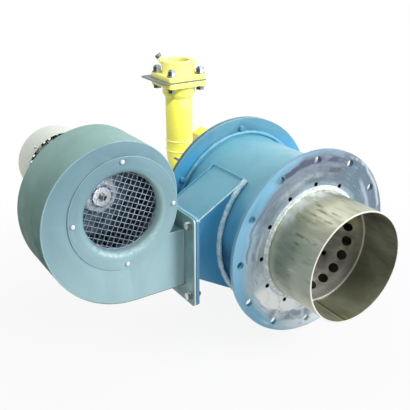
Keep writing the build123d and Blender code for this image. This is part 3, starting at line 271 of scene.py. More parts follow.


def paint(
    name,
    base,
    pale,
    deep,
    top_sheen=None,
    top_shade=(92, 142, 158),
    low_tone=None,
    low_span=(0.26, -0.06),
    low_side=(2.0, 1.0),
    left_tone=None,
    outlet_shade=None,
    wear_and_highlight=None,
    gloss=0.35,
    grain=0.03 * MM,
    coat=0.25,
    sheen=0.5,
):
    """Sprayed enamel: slow changes of tone, faint runs, an orange-peel skin and a few dull specks.
    The top sheen tone is a painted sheen on faces that look up, and the top shade tone a painted shade high
    up on the same paint.
    The low tone takes over between two heights, and between two places along X: painted light on the fan's
    front and throat ring, painted shade on the drum, the wrap and the seams.
    The left tone is painted light on faces that look to -X, and the outlet shade a painted shade on the
    sheet over the fan's outlet.
    The wear and highlight tone lies low on the lip of the fan's throat: paint wear with a painted highlight."""
    finish = Finish(name, coat=coat, coat_roughness=0.15)
    finish.shader.inputs["Specular IOR Level"].default_value = sheen
    runs = finish.blotches(22, 3, 0.45, 0.75, stretch=(1, 1, 0.2))
    specks = finish.blotches(260, 2, 0.66, 0.74)
    wander = finish.times(finish.noise(12, 3), 0.3)
    tone = finish.mix(finish.blotches(7, 2), rgb(*base), rgb(*pale))
    # painted light low on the fan's front, painted shade low on the drum, the wrap and the seams
    if low_tone:
        height = finish.plus(finish.z, finish.times(wander, 0.15))
        reach = finish.times(finish.spread(height, *low_span), finish.spread(finish.x, *low_side))
        tone = finish.mix(reach, tone, rgb(*low_tone))
    # painted sheen on faces that look up, and painted shade that dulls the paint high up
    if top_sheen:
        height = finish.plus(finish.z, finish.times(wander, 0.2))
        dull = finish.spread(height, top_shade_start, top_shade_end, 0.0, 0.8)
        tone = finish.mix(dull, tone, rgb(*top_shade))
        tone = finish.mix(finish.spread(finish.plus(finish.facing_z, wander), 0.1, 1.1), tone, rgb(*top_sheen))
    # painted light on faces that look to -X
    if left_tone:
        tone = finish.mix(finish.spread(finish.facing_x, -0.15, -0.75), tone, rgb(*left_tone))
    # painted shade on the sheet over the fan's outlet, next to the flange
    if outlet_shade:
        corner = finish.spread(finish.x, outlet_left, outlet_right)
        corner = finish.times(corner, finish.spread(finish.z, outlet_high, outlet_low))
        tone = finish.shade(corner, 0.9, tone, outlet_shade)
    # paint wear on the lip of the fan's throat, with a painted highlight
    if wear_and_highlight:
        lip = finish.times(
            finish.patch(finish.from_fan_axis(), lip_inner, lip_outer, 2 * MM),
            finish.spread(finish.z, lip_high, lip_low),
            finish.blotches(140, 4, 0.40, 0.60),
        )
        tone = finish.shade(lip, 0.5, tone, wear_and_highlight)
    tone = finish.mix(finish.times(runs, 0.14), tone, rgb(*deep))
    finish.colour(finish.mix(finish.times(specks, 0.3), tone, rgb(*deep)))
    finish.roughness(finish.noise(40, 4), gloss - 0.07, gloss + 0.12)
    return finish.bump((finish.noise(420, 2), grain), (finish.noise(30, 2), grain * 8))


def weld_paint(name, base, pale, deep):
    """Weld bead: brighter crests, dark pits and a rough skin."""
    finish = Finish(name, coat=0.4, coat_roughness=0.12)
    crest = finish.mix(finish.blotches(120, 3, 0.38, 0.6), rgb(*base), rgb(*pale))
    finish.colour(finish.mix(finish.blotches(240, 2, 0.64, 0.76), crest, rgb(*deep)))
    finish.roughness(finish.noise(150, 2), 0.22, 0.5)
    return finish.bump((finish.noise(200, 3), 0.25 * MM))


def plain_metal(name, base, deep, roughness, metallic=1.0, grain=(1, 1, 1), scale=300):
    """Machined or plated metal with fine marks along one direction and slow tarnish."""
    finish = Finish(name, metallic=metallic)
    marks = finish.noise(scale, 3, stretch=grain)
    tone = finish.mix(finish.times(finish.blotches(25, 3, 0.4, 0.7), 0.6), rgb(*base), rgb(*deep))
    finish.colour(finish.mix(finish.spread(marks, 0.4, 0.7, 0.0, 0.35), tone, rgb(*deep)))
    finish.roughness(marks, roughness - 0.08, roughness + 0.1)
    return finish.bump((marks, 0.02 * MM))


def moulded(name, base, pale, roughness=0.6, depth=0.04 * MM):
    """Moulded plastic, rubber or glazed ceramic, with a fine skin and slow changes of tone."""
    finish = Finish(name)
    finish.colour(finish.mix(finish.blotches(30, 3, 0.35, 0.7), rgb(*base), rgb(*pale)))
    finish.roughness(finish.noise(90, 3), roughness - 0.1, roughness + 0.1)
    return finish.bump((finish.noise(700, 2), depth))


def plated(name, bright, shaded, turned, metallic):
    """Plated screws: bright faces, with painted shade on the faces turned one way."""
    finish = Finish(name, metallic=metallic)
    # painted shade grows on faces turned along the given direction
    pull = finish.plus(
        finish.times(finish.facing_x, turned[0]),
        finish.times(finish.facing_y, turned[1]),
        finish.times(finish.facing_z, turned[2]),
        finish.times(finish.noise(160, 3), 0.3),
    )
    finish.colour(finish.shade(finish.spread(pull, 0.25, 0.65), 0.95, rgb(*bright), shaded))
    finish.roughness(finish.noise(90, 3), 0.28, 0.5)
    return finish.bump((finish.noise(500, 2), 0.02 * MM))


def galvanised(name, hub_highlight, base, deep):
    """Impeller sheet: zinc spangle, with a painted highlight in a ring round the hub."""
    ring_inner, ring_outer = 24 * MM, 34 * MM
    finish = Finish(name, metallic=0.35)
    spangle = finish.blotches(90, 3, 0.4, 0.65)
    tone = finish.mix(spangle, rgb(*base), rgb(*deep))
    reach = finish.plus(finish.from_fan_axis(), finish.times(spangle, 3 * MM))
    # painted highlight in a ring round the hub
    finish.colour(finish.shade(finish.patch(reach, ring_inner, ring_outer, 3 * MM), 0.9, tone, hub_highlight))
    finish.roughness(finish.noise(120, 3), 0.3, 0.48)
    return finish.bump((finish.noise(200, 2), 0.03 * MM))


def flange_paint(name, base, corner_shade, bright):
    """Fan flange: painted shade in the corner above the outlet, and a painted highlight on faces that look
    to -Y.
    """
    outlet_shade_start, outlet_shade_end = 0.146, 0.172  # depth into the corner, along Y
    outlet_shade_bottom, outlet_shade_top = 0.014, 0.022
    finish = Finish(name, coat=0.1, coat_roughness=0.2)
    tone = finish.mix(finish.blotches(30, 3), rgb(*base), rgb(*darker(base, 0.9)))
    inward = finish.plus(finish.y, finish.times(finish.noise(40, 3), 12 * MM))
    # painted shade in the corner above the outlet
    corner = finish.times(
        finish.spread(inward, outlet_shade_start, outlet_shade_end),
        finish.spread(finish.z, outlet_shade_bottom, outlet_shade_top),
    )
    tone = finish.shade(corner, 0.95, tone, corner_shade)
    # painted highlight on faces that look to -Y
    finish.colour(finish.shade(finish.spread(finish.facing_y, -0.5, -0.9), 0.9, tone, bright))
    finish.roughness(finish.noise(60, 3), 0.35, 0.55)
    return finish.bump((finish.noise(400, 2), 0.02 * MM))


def hub_paint(name, base, inside):
    """Gas hub: clean enamel outside and painted shade in the bore."""
    finish = Finish(name, coat=0.3, coat_roughness=0.15)
    depth = finish.away(finish.x, finish.y, riser_centre.x, riser_centre.y)
    tone = finish.mix(finish.blotches(14, 3), rgb(*base), rgb(*darker(base, 0.97)))
    # painted shade inside the bore
    bore = finish.spread(depth, gas_bore + 0.6 * MM, gas_bore - 0.4 * MM)
    finish.colour(finish.shade(bore, 0.95, tone, inside))
    finish.roughness(finish.noise(60, 3), 0.25, 0.42)
    return finish.bump((finish.noise(300, 2), 0.04 * MM))


def finned(name, tip, pale, root):
    """Cast motor frame: enamelled fin tips, with painted shade at the root between the fins."""
    tip_radius, root_radius = 77 * MM, 72.6 * MM
    shade_near, shade_far = 0.330, 0.372  # along Y, in front of the cowl
    finish = Finish(name, coat=0.15, coat_roughness=0.2)
    depth = finish.plus(finish.from_fan_axis(), finish.times(finish.noise(60, 3), 2 * MM))
    tone = finish.mix(finish.blotches(12, 3), rgb(*tip), rgb(*pale))
    # painted shade between the fins, just in front of the cowl
    shaded = finish.times(
        finish.spread(depth, tip_radius, root_radius),
        finish.patch(finish.y, shade_near, shade_far, 14 * MM),
    )
    finish.colour(finish.shade(shaded, 0.95, tone, root))
    finish.roughness(finish.noise(50, 3), 0.4, 0.6)
    return finish.bump((finish.noise(300, 2), 0.05 * MM))


def cowl_paint(name, base, low_tone, inside):
    """Fan cowl: cream enamel, a yellow-green tone low down, and painted shade on its inner side."""
    yellow_start, yellow_end = 0.175, 0.085  # heights
    finish = Finish(name, coat=0.2, coat_roughness=0.2)
    outward = finish.plus(
        finish.times(finish.less(finish.x, fan_centre.x), finish.facing_x),
        finish.times(finish.less(finish.z, fan_centre.z), finish.facing_z),
    )
    height = finish.plus(finish.z, finish.times(finish.noise(20, 3), 30 * MM))
    tone = finish.mix(finish.blotches(10, 3), rgb(*base), rgb(*darker(base, 0.97)))
    tone = finish.shade(finish.spread(height, yellow_start, yellow_end), 0.85, tone, low_tone)
    # painted shade on the cowl's inner side
    finish.colour(finish.shade(finish.spread(outward, -5 * MM, -30 * MM), 0.95, tone, inside))
    finish.roughness(finish.noise(50, 3), 0.32, 0.5)
    return finish.bump((finish.noise(300, 2), 0.05 * MM))


# Marks on the bare flange: inner and outer radius, first and last angle, strength and colour
FLANGE_MARKS = (
    # pale grinding on the lower left, made white as painted light
    (0.118, 0.150, -152, -104, 1.0, (252, 255, 255)),
    (0.1555, 0.1595, 138, 232, 0.75, (90, 118, 148)),
    (0.1620, 0.1660, 150, 222, 0.55, (150, 196, 222)),
    (0.1300, 0.1345, 160, 200, 0.5, (216, 228, 234)),
    (0.166, 0.1775, 66, 122, 0.9, (80, 84, 108)),
    (0.1675, 0.1740, 74, 118, 0.8, (84, 88, 112)),
    (0.136, 0.146, 84, 128, 0.5, (176, 190, 200)),
    (0.146, 0.164, -128, -86, 0.8, (120, 134, 160)),
    (0.172, 0.178, -130, -96, 0.6, (214, 226, 236)),
    # painted highlight on the right
    (0.150, 0.158, 8, 42, 0.5, (190, 204, 214)),
    (0.160, 0.172, 2, 46, 0.7, (106, 116, 140)),
    # painted highlight on the right
    (0.178, 0.184, 10, 60, 0.7, (206, 214, 226)),
    (0.184, 0.192, 36, 62, 0.6, (126, 112, 126)),
    (0.136, 0.144, 146, 182, 0.6, (102, 126, 150)),
    (0.150, 0.156, 152, 214, 0.5, (168, 190, 206)),
)


def flange_steel():
    """Bare flange: scoured steel, grinding smudges, paint mist on its rim, painted shade and light by height
    and on the right, a few painted highlights, and painted shade in the small holes.
    """
    finish = Finish("flange_steel", metallic=0.25)
    radius = finish.away(finish.x, finish.z)
    turn = finish.turn()
    per_degree = 2 * MM  # length along the rings
    round_place = finish.vector(finish.times(turn, per_degree), radius, finish.y)
    scour = finish.noise(70, 5, stretch=(1, 4.0, 1), place=round_place)
    cloud = finish.noise(13, 4, distortion=0.5)
    broken = finish.blotches(30, 4, 0.30, 0.48, distortion=0.8)
    ragged = finish.plus(radius, finish.times(finish.less(cloud, 0.5), 30 * MM))
    height = finish.plus(finish.z, finish.times(cloud, 60 * MM))
    patchy = finish.spread(cloud, 0.3, 0.7)
    # painted shade towards the top and painted light towards the bottom
    upper = finish.mix(patchy, rgb(90, 104, 120), rgb(134, 147, 161))
    lower = finish.mix(patchy, rgb(204, 222, 228), rgb(240, 250, 250))
    tone = finish.layers(
        finish.mix(finish.spread(height, 0.15, -0.10), upper, lower),
        # painted shade on the right-hand side
        (finish.x, 0.03, 0.14, 0.9, (88, 116, 132)),
        (ragged, 0.131, 0.119, 0.45, (170, 196, 206)),
        (scour, 0.52, 0.70, 0.45, (112, 124, 146)),
        (scour, 0.48, 0.28, 0.25, (212, 218, 226)),
    )
    # paint mist on the left of the rim, a thin film inside it and a blue edge
    mist = finish.times(finish.spread(finish.x, -0.02, -0.12), finish.spread(ragged, 0.157, 0.172))
    tone = finish.shade(mist, 0.92, tone, (118, 188, 220))
    film = finish.times(finish.spread(finish.x, -0.06, -0.15), finish.spread(ragged, 0.125, 0.160))
    tone = finish.shade(film, 0.4, tone, (128, 170, 196))
    edge = finish.times(finish.spread(ragged, 0.176, 0.190), finish.spread(finish.x, 0.16, -0.06))
    tone = finish.shade(edge, 0.7, tone, (130, 176, 202))
    for inner, outer, start, end, strength, over in FLANGE_MARKS:
        band = finish.patch(ragged, inner, outer, 2.5 * MM)
        arc = finish.times(finish.patch(turn, start, end, 5.0), broken)
        tone = finish.shade(finish.times(band, arc), strength, tone, over)
    chip = finish.times(finish.patch(ragged, 0.1455, 0.1555, 1 * MM), finish.patch(turn, 66, 78, 1.5))
    tone = finish.shade(chip, 0.85, tone, (88, 94, 106))
    # painted shade in the small holes, from the place within each hole's share of the circle
    share = finish.math("FRACT", finish.plus(finish.math("DIVIDE", turn, 360 / lining_count), 12.5))
    along = finish.times(finish.less(share, 0.5), 2 * pi / lining_count * lining_circle)
    hole = finish.away(along, finish.less(radius, lining_circle))
    finish.colour(finish.layers(tone, (hole, 4.9 * MM, 4.2 * MM, 1.0, (16, 22, 28))))
    finish.roughness(scour, 0.32, 0.55)
    return finish.bump((scour, 0.12 * MM), (finish.noise(26, 2), 0.4 * MM))


# Scorch marks along the flame tube: angle, and how far their front and back ends lie from the flange
TUBE_SCORCHES = (
    (108, 0.062, 0.040),
    (109, 0.110, 0.083),
    (113, 0.078, 0.052),
    (120, 0.106, 0.048),
    (127, 0.077, 0.042),
    (144, 0.104, 0.050),
    (152, 0.070, 0.058),
    (163, 0.108, 0.094),
)


def tube_steel():
    """Flame tube: olive heat colours, scorch marks along it, a seam inside, a bright cut rim, painted shade
    on its sides and painted light underneath and low inside.
    """
    finish = Finish("tube_steel", metallic=0.45)
    radius = finish.away(finish.x, finish.z)
    turn = finish.turn()
    per_degree = 1.9 * MM  # length round the tube
    unrolled = finish.vector(finish.times(turn, per_degree), finish.y, 0.0)
    cloud = finish.noise(15, 4, stretch=(1, 0.7, 1), place=unrolled, distortion=0.5)
    streak = finish.noise(38, 5, stretch=(2.4, 0.6, 1), place=unrolled, distortion=0.4)
    broken = finish.blotches(60, 4, 0.38, 0.55, stretch=(1, 0.6, 1), place=unrolled)
    patchy = finish.spread(cloud, 0.3, 0.7)
    # heat bands: pale at the weld with a broken haze over the top, olive in the middle, grey near the mouth
    near_weld = finish.plus(finish.y, finish.times(cloud, 20 * MM))
    outer = finish.layers(
        finish.mix(patchy, rgb(138, 139, 112), rgb(200, 200, 174)),
        # painted shade on the left and right sides
        (finish.x, -0.055, -0.108, 0.8, (140, 154, 140)),
        (finish.x, 0.0, 0.04, 0.6, (160, 166, 158)),
        (streak, 0.52, 0.66, 0.4, (104, 101, 76)),
        (streak, 0.45, 0.3, 0.35, (204, 208, 190)),
        # painted light underneath
        (finish.z, -0.01, -0.08, 0.8, (236, 234, 210)),
        (near_weld, -0.018, -0.002, 0.6, (200, 210, 188)),
    )
    haze = finish.times(finish.patch(turn, 56, 140, 12.0), finish.patch(finish.y, -0.030, -0.002, 8 * MM))
    outer = finish.shade(finish.times(haze, broken), 0.7, outer, (238, 242, 240))
    outer = finish.shade(finish.patch(finish.y, -0.062, -0.026, 12 * MM), 0.3, outer, (118, 124, 106))
    outer = finish.layers(outer, (finish.y, -0.060, -0.085, 0.35, (162, 168, 156)))
    for angle, front, back in TUBE_SCORCHES:
        mark = finish.times(finish.patch(turn, angle - 1.1, angle + 1.1, 1.0), broken)
        mark = finish.times(mark, finish.patch(finish.y, -front, -back, 6 * MM))
        outer = finish.shade(mark, 0.75, outer, (88, 84, 60))
    inner = finish.layers(
        finish.mix(patchy, rgb(92, 95, 80), rgb(148, 152, 132)),
        (streak, 0.50, 0.66, 0.3, (82, 78, 58)),
        # painted light low inside
        (finish.z, -0.02, -0.09, 0.35, (166, 166, 138)),
    )
    # the pipe's seam inside: a pale bead, its brown heat mark and a fleck of rust near the mouth
    inner = finish.shade(finish.patch(turn, -101.6, -100.4, 0.5), 0.8, inner, (196, 192, 160))
    inner = finish.shade(finish.patch(turn, -99.6, -96.0, 1.4), 0.6, inner, (88, 66, 44))
    fleck = finish.patch(finish.y, -0.114, -0.096, 5 * MM)
    fleck = finish.times(finish.patch(turn, -94.5, -91.0, 1.5), fleck, broken)
    inner = finish.shade(fleck, 0.6, inner, (168, 158, 56))
    outside = finish.spread(radius, tube_radius - 2.2 * MM, tube_radius - 1.2 * MM)
    cut = finish.spread(finish.y, tube_front + 0.6 * MM, tube_front + 1.4 * MM, 1.0, 0.0)
    finish.colour(finish.mix(cut, finish.mix(outside, inner, outer), rgb(236, 234, 226)))
    finish.roughness(streak, 0.3, 0.5)
    return finish.bump((streak, 0.12 * MM), (finish.noise(20, 2), 0.6 * MM))


def cone_steel():
    """Perforated cone: brown-grey plate, a pale ring round each large hole, a painted highlight as a gleam,
    a straw stain and painted light low down.
    """
    finish = Finish("cone_steel", metallic=0.45)
    radius = finish.away(finish.x, finish.z)
    # the place within each hole's share of the circle, along the sheet
    turn = finish.plus(finish.turn(), 720)
    share = finish.math("FRACT", finish.math("DIVIDE", turn, 360 / cone_hole_count))
    around = finish.times(finish.less(share, 0.5), 2 * pi / cone_hole_count * cone_hole_circle)
    halo = finish.away(around, finish.times(finish.less(radius, cone_hole_circle), cone_stretch))
    cloud = finish.noise(24, 4, distortion=0.6)
    tone = finish.mix(finish.spread(cloud, 0.3, 0.7), rgb(106, 103, 93), rgb(146, 144, 134))
    # painted light low down
    tone = finish.shade(finish.spread(finish.z, -0.02, -0.09), 0.5, tone, (176, 176, 168))
    ring = finish.spread(halo, cone_hole_radius + 0.2 * MM, cone_hole_radius + 2.6 * MM, 1.0, 0.0)
    tone = finish.shade(ring, 0.3, tone, (190, 186, 176))
    stain_x, stain_z = 0.085, 0.026
    straw = finish.spread(finish.away(finish.x, finish.z, stain_x, stain_z), 5 * MM, 24 * MM, 1.0, 0.0)
    tone = finish.shade(finish.times(straw, finish.spread(cloud, 0.3, 0.5)), 0.55, tone, (206, 192, 140))
    # painted highlight: a gleam on the cone
    gleam_place = finish.plus(finish.x, finish.times(cloud, 4 * MM))
    gleam = finish.times(
        finish.patch(gleam_place, 30 * MM, 36 * MM, 1.5 * MM),
        finish.patch(finish.z, -40 * MM, -12 * MM, 6 * MM),
    )
    tone = finish.shade(gleam, 0.85, tone, (240, 238, 226))
    rim = finish.spread(radius, 103.6 * MM, 104.6 * MM)
    finish.colour(finish.shade(rim, 0.95, tone, (240, 238, 230)))
    finish.roughness(finish.noise(180, 3), 0.34, 0.55)
    return finish.bump((finish.noise(140, 4), 0.15 * MM))


blue_tones = ((71, 157, 200), (82, 167, 209), (44, 108, 152))
# painted sheen on faces that look up
top_sheen_blue = (113, 180, 198)
BLUE = paint("blue_paint", *blue_tones, top_sheen=top_sheen_blue)
# low tone: painted shade low on the drum
DRUM_BLUE = paint(
    "drum_paint",
    *blue_tones,
    top_sheen=top_sheen_blue,
    low_tone=(34, 112, 148),
    low_span=(0.055, 0.005),
)
PLATE_BLUE = paint("duct_plate_paint", (84, 138, 174), (92, 148, 184), (62, 108, 144), top_sheen=top_sheen_blue)
REAR_BLUE = paint(
    "rear_flange_paint",
    (70, 159, 204),
    (80, 168, 212),
    (44, 108, 152),
    top_sheen=(108, 174, 192),
    top_shade=(88, 143, 162),
)
# paler than the drum's paint: painted highlight along the fillet at the drum's back
BLUE_FILLET = paint(
    "blue_fillet",
    (96, 164, 194),
    (116, 182, 208),
    (70, 136, 174),
    gloss=0.3,
    grain=0.1 * MM,
)
BLUE_SHADE = paint("blue_cover_paint", (66, 110, 124), (78, 124, 138), (48, 86, 102))
# pale weld colour, made brighter as painted light where the duct's near weld lies in shade, with a painted
# highlight along its upper edge
BLUE_WELD = weld_paint("blue_weld", (176, 224, 240), (238, 250, 254), (104, 168, 202))
fan_tones = ((110, 147, 159), (118, 156, 168), (96, 134, 148))
# low tone: painted light, paler low on the fan's front; left tone: painted light on faces that look to -X
fan_look = {
    "low_tone": (166, 200, 206),
    "left_tone": (176, 214, 210),
    "gloss": 0.42,
    "grain": 0.02 * MM,
    "coat": 0.15,
}
FAN = paint("fan_paint", *fan_tones, **fan_look)
# low tone: painted shade low on the wrap's left; outlet shade: painted shade over the outlet
WRAP = paint(
    "fan_wrap_paint",
    (140, 174, 168),
    (146, 182, 175),
    (112, 146, 138),
    low_tone=(58, 98, 86),
    low_span=(0.26, 0.06),
    low_side=(-0.33, -0.42),
    outlet_shade=(98, 136, 146),
    gloss=0.55,
    grain=0.02 * MM,
    coat=0.0,
    sheen=0.2,
)
# paint wear on the throat's lip, with a painted highlight
INLET = paint("inlet_ring_paint", *fan_tones, wear_and_highlight=(206, 228, 222), **fan_look)
# paler than the fan's paint as a painted highlight along the edges, and darker low down as painted shade
SEAM = paint(
    "fan_seam_paint",
    (150, 184, 192),
    (172, 204, 210),
    (112, 146, 156),
    low_tone=(102, 124, 112),
    low_span=(0.02, -0.03),
    grain=0.02 * MM,
)
FAN_FLANGE = flange_paint("fan_flange_paint", (136, 172, 174), (36, 46, 46), (214, 230, 228))
# left tone: painted light on faces that look to -X
YELLOW = paint(
    "yellow_paint",
    (253, 247, 108),
    (255, 250, 132),
    (240, 230, 92),
    left_tone=(254, 249, 92),
    gloss=0.3,
    coat=0.35,
)
YELLOW_WELD = weld_paint("yellow_weld", (252, 248, 130), (255, 252, 178), (236, 226, 100))
HUB_YELLOW = hub_paint("hub_yellow_paint", (254, 250, 134), (190, 184, 96))
CREAM = paint("motor_paint", (226, 234, 218), (234, 240, 228), (206, 214, 198), gloss=0.4)
FINS = finned("motor_fin_paint", (226, 232, 218), (214, 222, 204), (18, 20, 18))
COWL = cowl_paint("motor_cowl_paint", (228, 236, 224), (208, 210, 158), (24, 26, 24))
ZINC = plain_metal("zinc_steel", (206, 208, 212), (150, 154, 162), 0.26)
INLET_ZINC = plated("inlet_screw_zinc", (228, 238, 243), (104, 136, 148), (1.1, 0.0, -0.9), 0.2)
WHITE_ZINC = plain_metal("bright_zinc", (244, 247, 250), (206, 210, 218), 0.35, metallic=0.35)
SHAFT = plain_metal("shaft_steel", (196, 198, 202), (150, 152, 158), 0.25, grain=(1, 12, 1))
GALVANISED = galvanised("galvanised_sheet", (240, 247, 255), (116, 138, 156), (56, 80, 94))
WIRE = plain_metal("guard_wire", (166, 180, 194), (114, 128, 144), 0.45, metallic=0.25)
WELD_STEEL = weld_paint("weld_steel", (200, 212, 210), (236, 243, 241), (140, 156, 160))
SLIP_STEEL = plain_metal("slip_plate_steel", (128, 134, 138), (96, 102, 106), 0.45, metallic=0.5)
DARK_STEEL = plain_metal("dark_steel", (92, 98, 98), (44, 50, 50), 0.35, metallic=0.7)
GAS_ZINC = plated("gas_bolt_zinc", (164, 170, 178), (38, 46, 44), (-1.1, 0.5, -0.8), 0.5)
OUTLET_ZINC = plated("outlet_bolt_zinc", (242, 246, 240), (74, 88, 84), (0.0, -1.2, -0.6), 0.3)
ALLOY = plain_metal("box_alloy", (196, 198, 194), (160, 164, 162), 0.5, metallic=0.5, scale=120)
BRASS = plain_metal("turned_brass", (214, 182, 104), (166, 132, 66), 0.3)
COPPER = plain_metal("winding_copper", (190, 112, 66), (130, 66, 36), 0.4, grain=(1, 6, 1))
CORE = plain_metal("core_steel", (96, 96, 100), (60, 60, 64), 0.5, grain=(1, 14, 1))
HEAD_STEEL = plain_metal("gas_head_steel", (120, 116, 106), (74, 70, 62), 0.45, metallic=0.7)
BLACK = moulded("black_plastic", (26, 27, 30), (44, 45, 48))
RUBBER = moulded("dark_rubber", (24, 30, 34), (40, 46, 50), roughness=0.75)
CERAMIC = moulded("ceramic", (232, 228, 214), (244, 242, 232), roughness=0.25, depth=0.01 * MM)
FLANGE = flange_steel()
TUBE = tube_steel()
CONE = cone_steel()


# ---------------- meshes
merge_distance = 0.002 * MM  # for corners that the frame's triangles don't share
flat_angle = 0.3  # degrees between faces that count as one


def object_of(name, mesh, material):
    """A new object at the origin with its finish."""
    thing = bpy.data.objects.new(name, mesh)
    bpy.context.scene.collection.objects.link(thing)
    mesh.materials.clear()
    mesh.materials.append(material)
    return thing


def evaluated(thing):
    """The object's mesh with its modifiers applied."""
    graph = bpy.context.evaluated_depsgraph_get()
    return bpy.data.meshes.new_from_object(thing.evaluated_get(graph))


def placed(thing, body, slot, *replaced):
    """Sets what a finished piece rides on and hides the CAD nodes it stands for. The slot is not used."""
    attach(thing, body)
    if replaced:
        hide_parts(*replaced)
    return thing


def dressed(node, material, edge, body="burner", angle=32):
    """A CAD node's own shape with its triangles joined, edges rounded by so many millimetres and a finish.
    Edges sharper than the angle are rounded."""
    mesh = bpy.data.meshes.new(node + "_dressed")
    shape = bmesh.new()
    shape.from_mesh(frame["nodes"][node].data)
    bmesh.ops.remove_doubles(shape, verts=shape.verts, dist=merge_distance)
    bmesh.ops.dissolve_limit(shape, angle_limit=radians(flat_angle), verts=shape.verts, edges=shape.edges)
    shape.to_mesh(mesh)
    shape.free()
    thing = object_of(node + "_dressed", mesh, material)
    bevel = thing.modifiers.new("edge", "BEVEL")
    bevel.width = edge * MM
    bevel.segments = 2
    bevel.limit_method = "ANGLE"
    bevel.angle_limit = radians(angle)
    bevel.use_clamp_overlap = True
    rounded = evaluated(thing)
    thing.modifiers.clear()
    thing.data = rounded
    rounded.polygons.foreach_set("use_smooth", [True] * len(rounded.polygons))
    rounded.set_sharp_from_angle(angle=radians(angle))
    slot = slot_of[node]
    return placed(thing, body, slot, node)


# ---------------- node trees for what repeats
class Tree(Nodes):
    """A Geometry Nodes tree with named inputs."""

    def __init__(self, name, **inputs):
        super().__init__(bpy.data.node_groups.new(name, "GeometryNodeTree"))
        face = self.graph.interface
        face.new_socket("Geometry", in_out="INPUT", socket_type="NodeSocketGeometry")
        face.new_socket("Geometry", in_out="OUTPUT", socket_type="NodeSocketGeometry")
        for label, kind in inputs.items():
            face.new_socket(label, in_out="INPUT", socket_type="NodeSocket" + kind)
        face.new_socket("Material", in_out="INPUT", socket_type="NodeSocketMaterial")
        self.inside = self.graph.nodes.new("NodeGroupInput").outputs

    def rods(self, curves, sides, size):
        """The tree's end: round rods along curves, made real, smooth and given their material."""
        ring = self.add("GeometryNodeCurvePrimitiveCircle", {"Resolution": sides, "Radius": 1.0}).outputs[0]
        rod = self.add(
            "GeometryNodeCurveToMesh",
            {"Curve": curves, "Profile Curve": ring, "Scale": size, "Fill Caps": True},
        ).outputs[0]
        real = self.add("GeometryNodeRealizeInstances", {"Geometry": rod}).outputs[0]
        smooth = self.add("GeometryNodeSetShadeSmooth", {"Geometry": real, "Shade Smooth": True}).outputs[0]
        last = self.add("GeometryNodeSetMaterial", {"Geometry": smooth, "Material": self.inside["Material"]})
        self.add("NodeGroupOutput", {0: last.outputs[0]})
        return self


def grow(name, tree, source, material, **values):
    """A plain mesh grown by a node tree from a source mesh or curve."""
    seed = bpy.data.objects.new(name + "_source", source)
    bpy.context.scene.collection.objects.link(seed)
    modifier = seed.modifiers.new("grow", "NODES")
    modifier.node_group = tree.graph
    items = tree.graph.interface.items_tree
    names = {item.name: item.identifier for item in items if item.in_out == "INPUT"}
    modifier[names["Material"]] = material
    for label, value in values.items():
        modifier[names[label]] = value
    mesh = evaluated(seed)
    bpy.data.objects.remove(seed)
    return object_of(name, mesh, material)


def bead_tree():
    """A weld bead along a curve: a round rope with ripples and an uneven width."""
    steps_per_ripple = 6.0
    uneven_share = 0.7
    uneven = {"Scale": 70.0, "Detail": 2.0}
    tree = Tree("weld_bead", Radius="Float", Pitch="Float", Ripple="Float")
    radius, pitch, ripple = (tree.inside[label] for label in ("Radius", "Pitch", "Ripple"))
    step = tree.math("DIVIDE", pitch, steps_per_ripple)
    path = tree.add("GeometryNodeResampleCurve", {"Curve": tree.inside["Geometry"]}, mode="LENGTH")
    tree.join(step, path.inputs["Length"])
    length = tree.add("GeometryNodeSplineParameter").outputs["Length"]
    phase = tree.math("DIVIDE", tree.times(length, 2 * pi), pitch)
    wave = tree.times(tree.math("SINE", phase), ripple)
    place = tree.add("GeometryNodeInputPosition").outputs[0]
    rough = tree.add("ShaderNodeTexNoise", {"Vector": place, **uneven}).outputs[0]
    rough = tree.times(tree.less(rough, 0.5), uneven_share)
    size = tree.times(radius, tree.plus(wave, rough, 1.0))
    return tree.rods(path.outputs[0], 12, size)


def guard_tree():
    """A woven wire guard: parallel wires clipped to a circle, each weaving over and under the others."""
    steps_per_wire = 97
    weave_share = 0.52  # how far a wire leaves the guard's plane, as a share of its thickness
    tree = Tree("wire_weave", Radius="Float", Pitch="Float", Wire="Float", Count="Int", Side="Float")
    labels = ("Radius", "Pitch", "Wire", "Count", "Side")
    radius, pitch, wire, count, side = (tree.inside[label] for label in labels)
    half = tree.math("DIVIDE", tree.less(count, 1.0), 2.0)
    start = tree.times(half, pitch, -1.0)
    rows = tree.add(
        "GeometryNodeMeshLine",
        {"Count": count, "Start Location": tree.vector(y=start), "Offset": tree.vector(y=pitch)},
    ).outputs[0]
    index = tree.add("GeometryNodeInputIndex").outputs[0]
    row = tree.times(tree.less(index, half), pitch)
    chord = tree.math("SQRT", tree.less(tree.times(radius, radius), tree.times(row, row)))
    strand = tree.add("GeometryNodeCurvePrimitiveLine", {"Start": (-1, 0, 0), "End": (1, 0, 0)}).outputs[0]
    strand = tree.add("GeometryNodeResampleCurve", {"Curve": strand, "Count": steps_per_wire}).outputs[0]
    strands = tree.add(
        "GeometryNodeInstanceOnPoints",
        {"Points": rows, "Instance": strand, "Scale": tree.vector(x=chord, y=1.0, z=1.0)},
    ).outputs[0]
    strands = tree.add("GeometryNodeRealizeInstances", {"Geometry": strands}).outputs[0]
    place = tree.add("GeometryNodeInputPosition").outputs[0]
    x, y, _ = tree.add("ShaderNodeSeparateXYZ", {0: place}).outputs
    beats = tree.plus(tree.math("DIVIDE", x, pitch), tree.math("DIVIDE", y, pitch))
    wave = tree.math("COSINE", tree.times(beats, pi))
    lift = tree.vector(z=tree.times(tree.times(wave, side), tree.times(wire, weave_share)))
    woven = tree.add("GeometryNodeSetPosition", {"Geometry": strands, "Offset": lift}).outputs[0]
    return tree.rods(woven, 7, tree.math("DIVIDE", wire, 2.0))


BEAD = bead_tree()
GUARD = guard_tree()


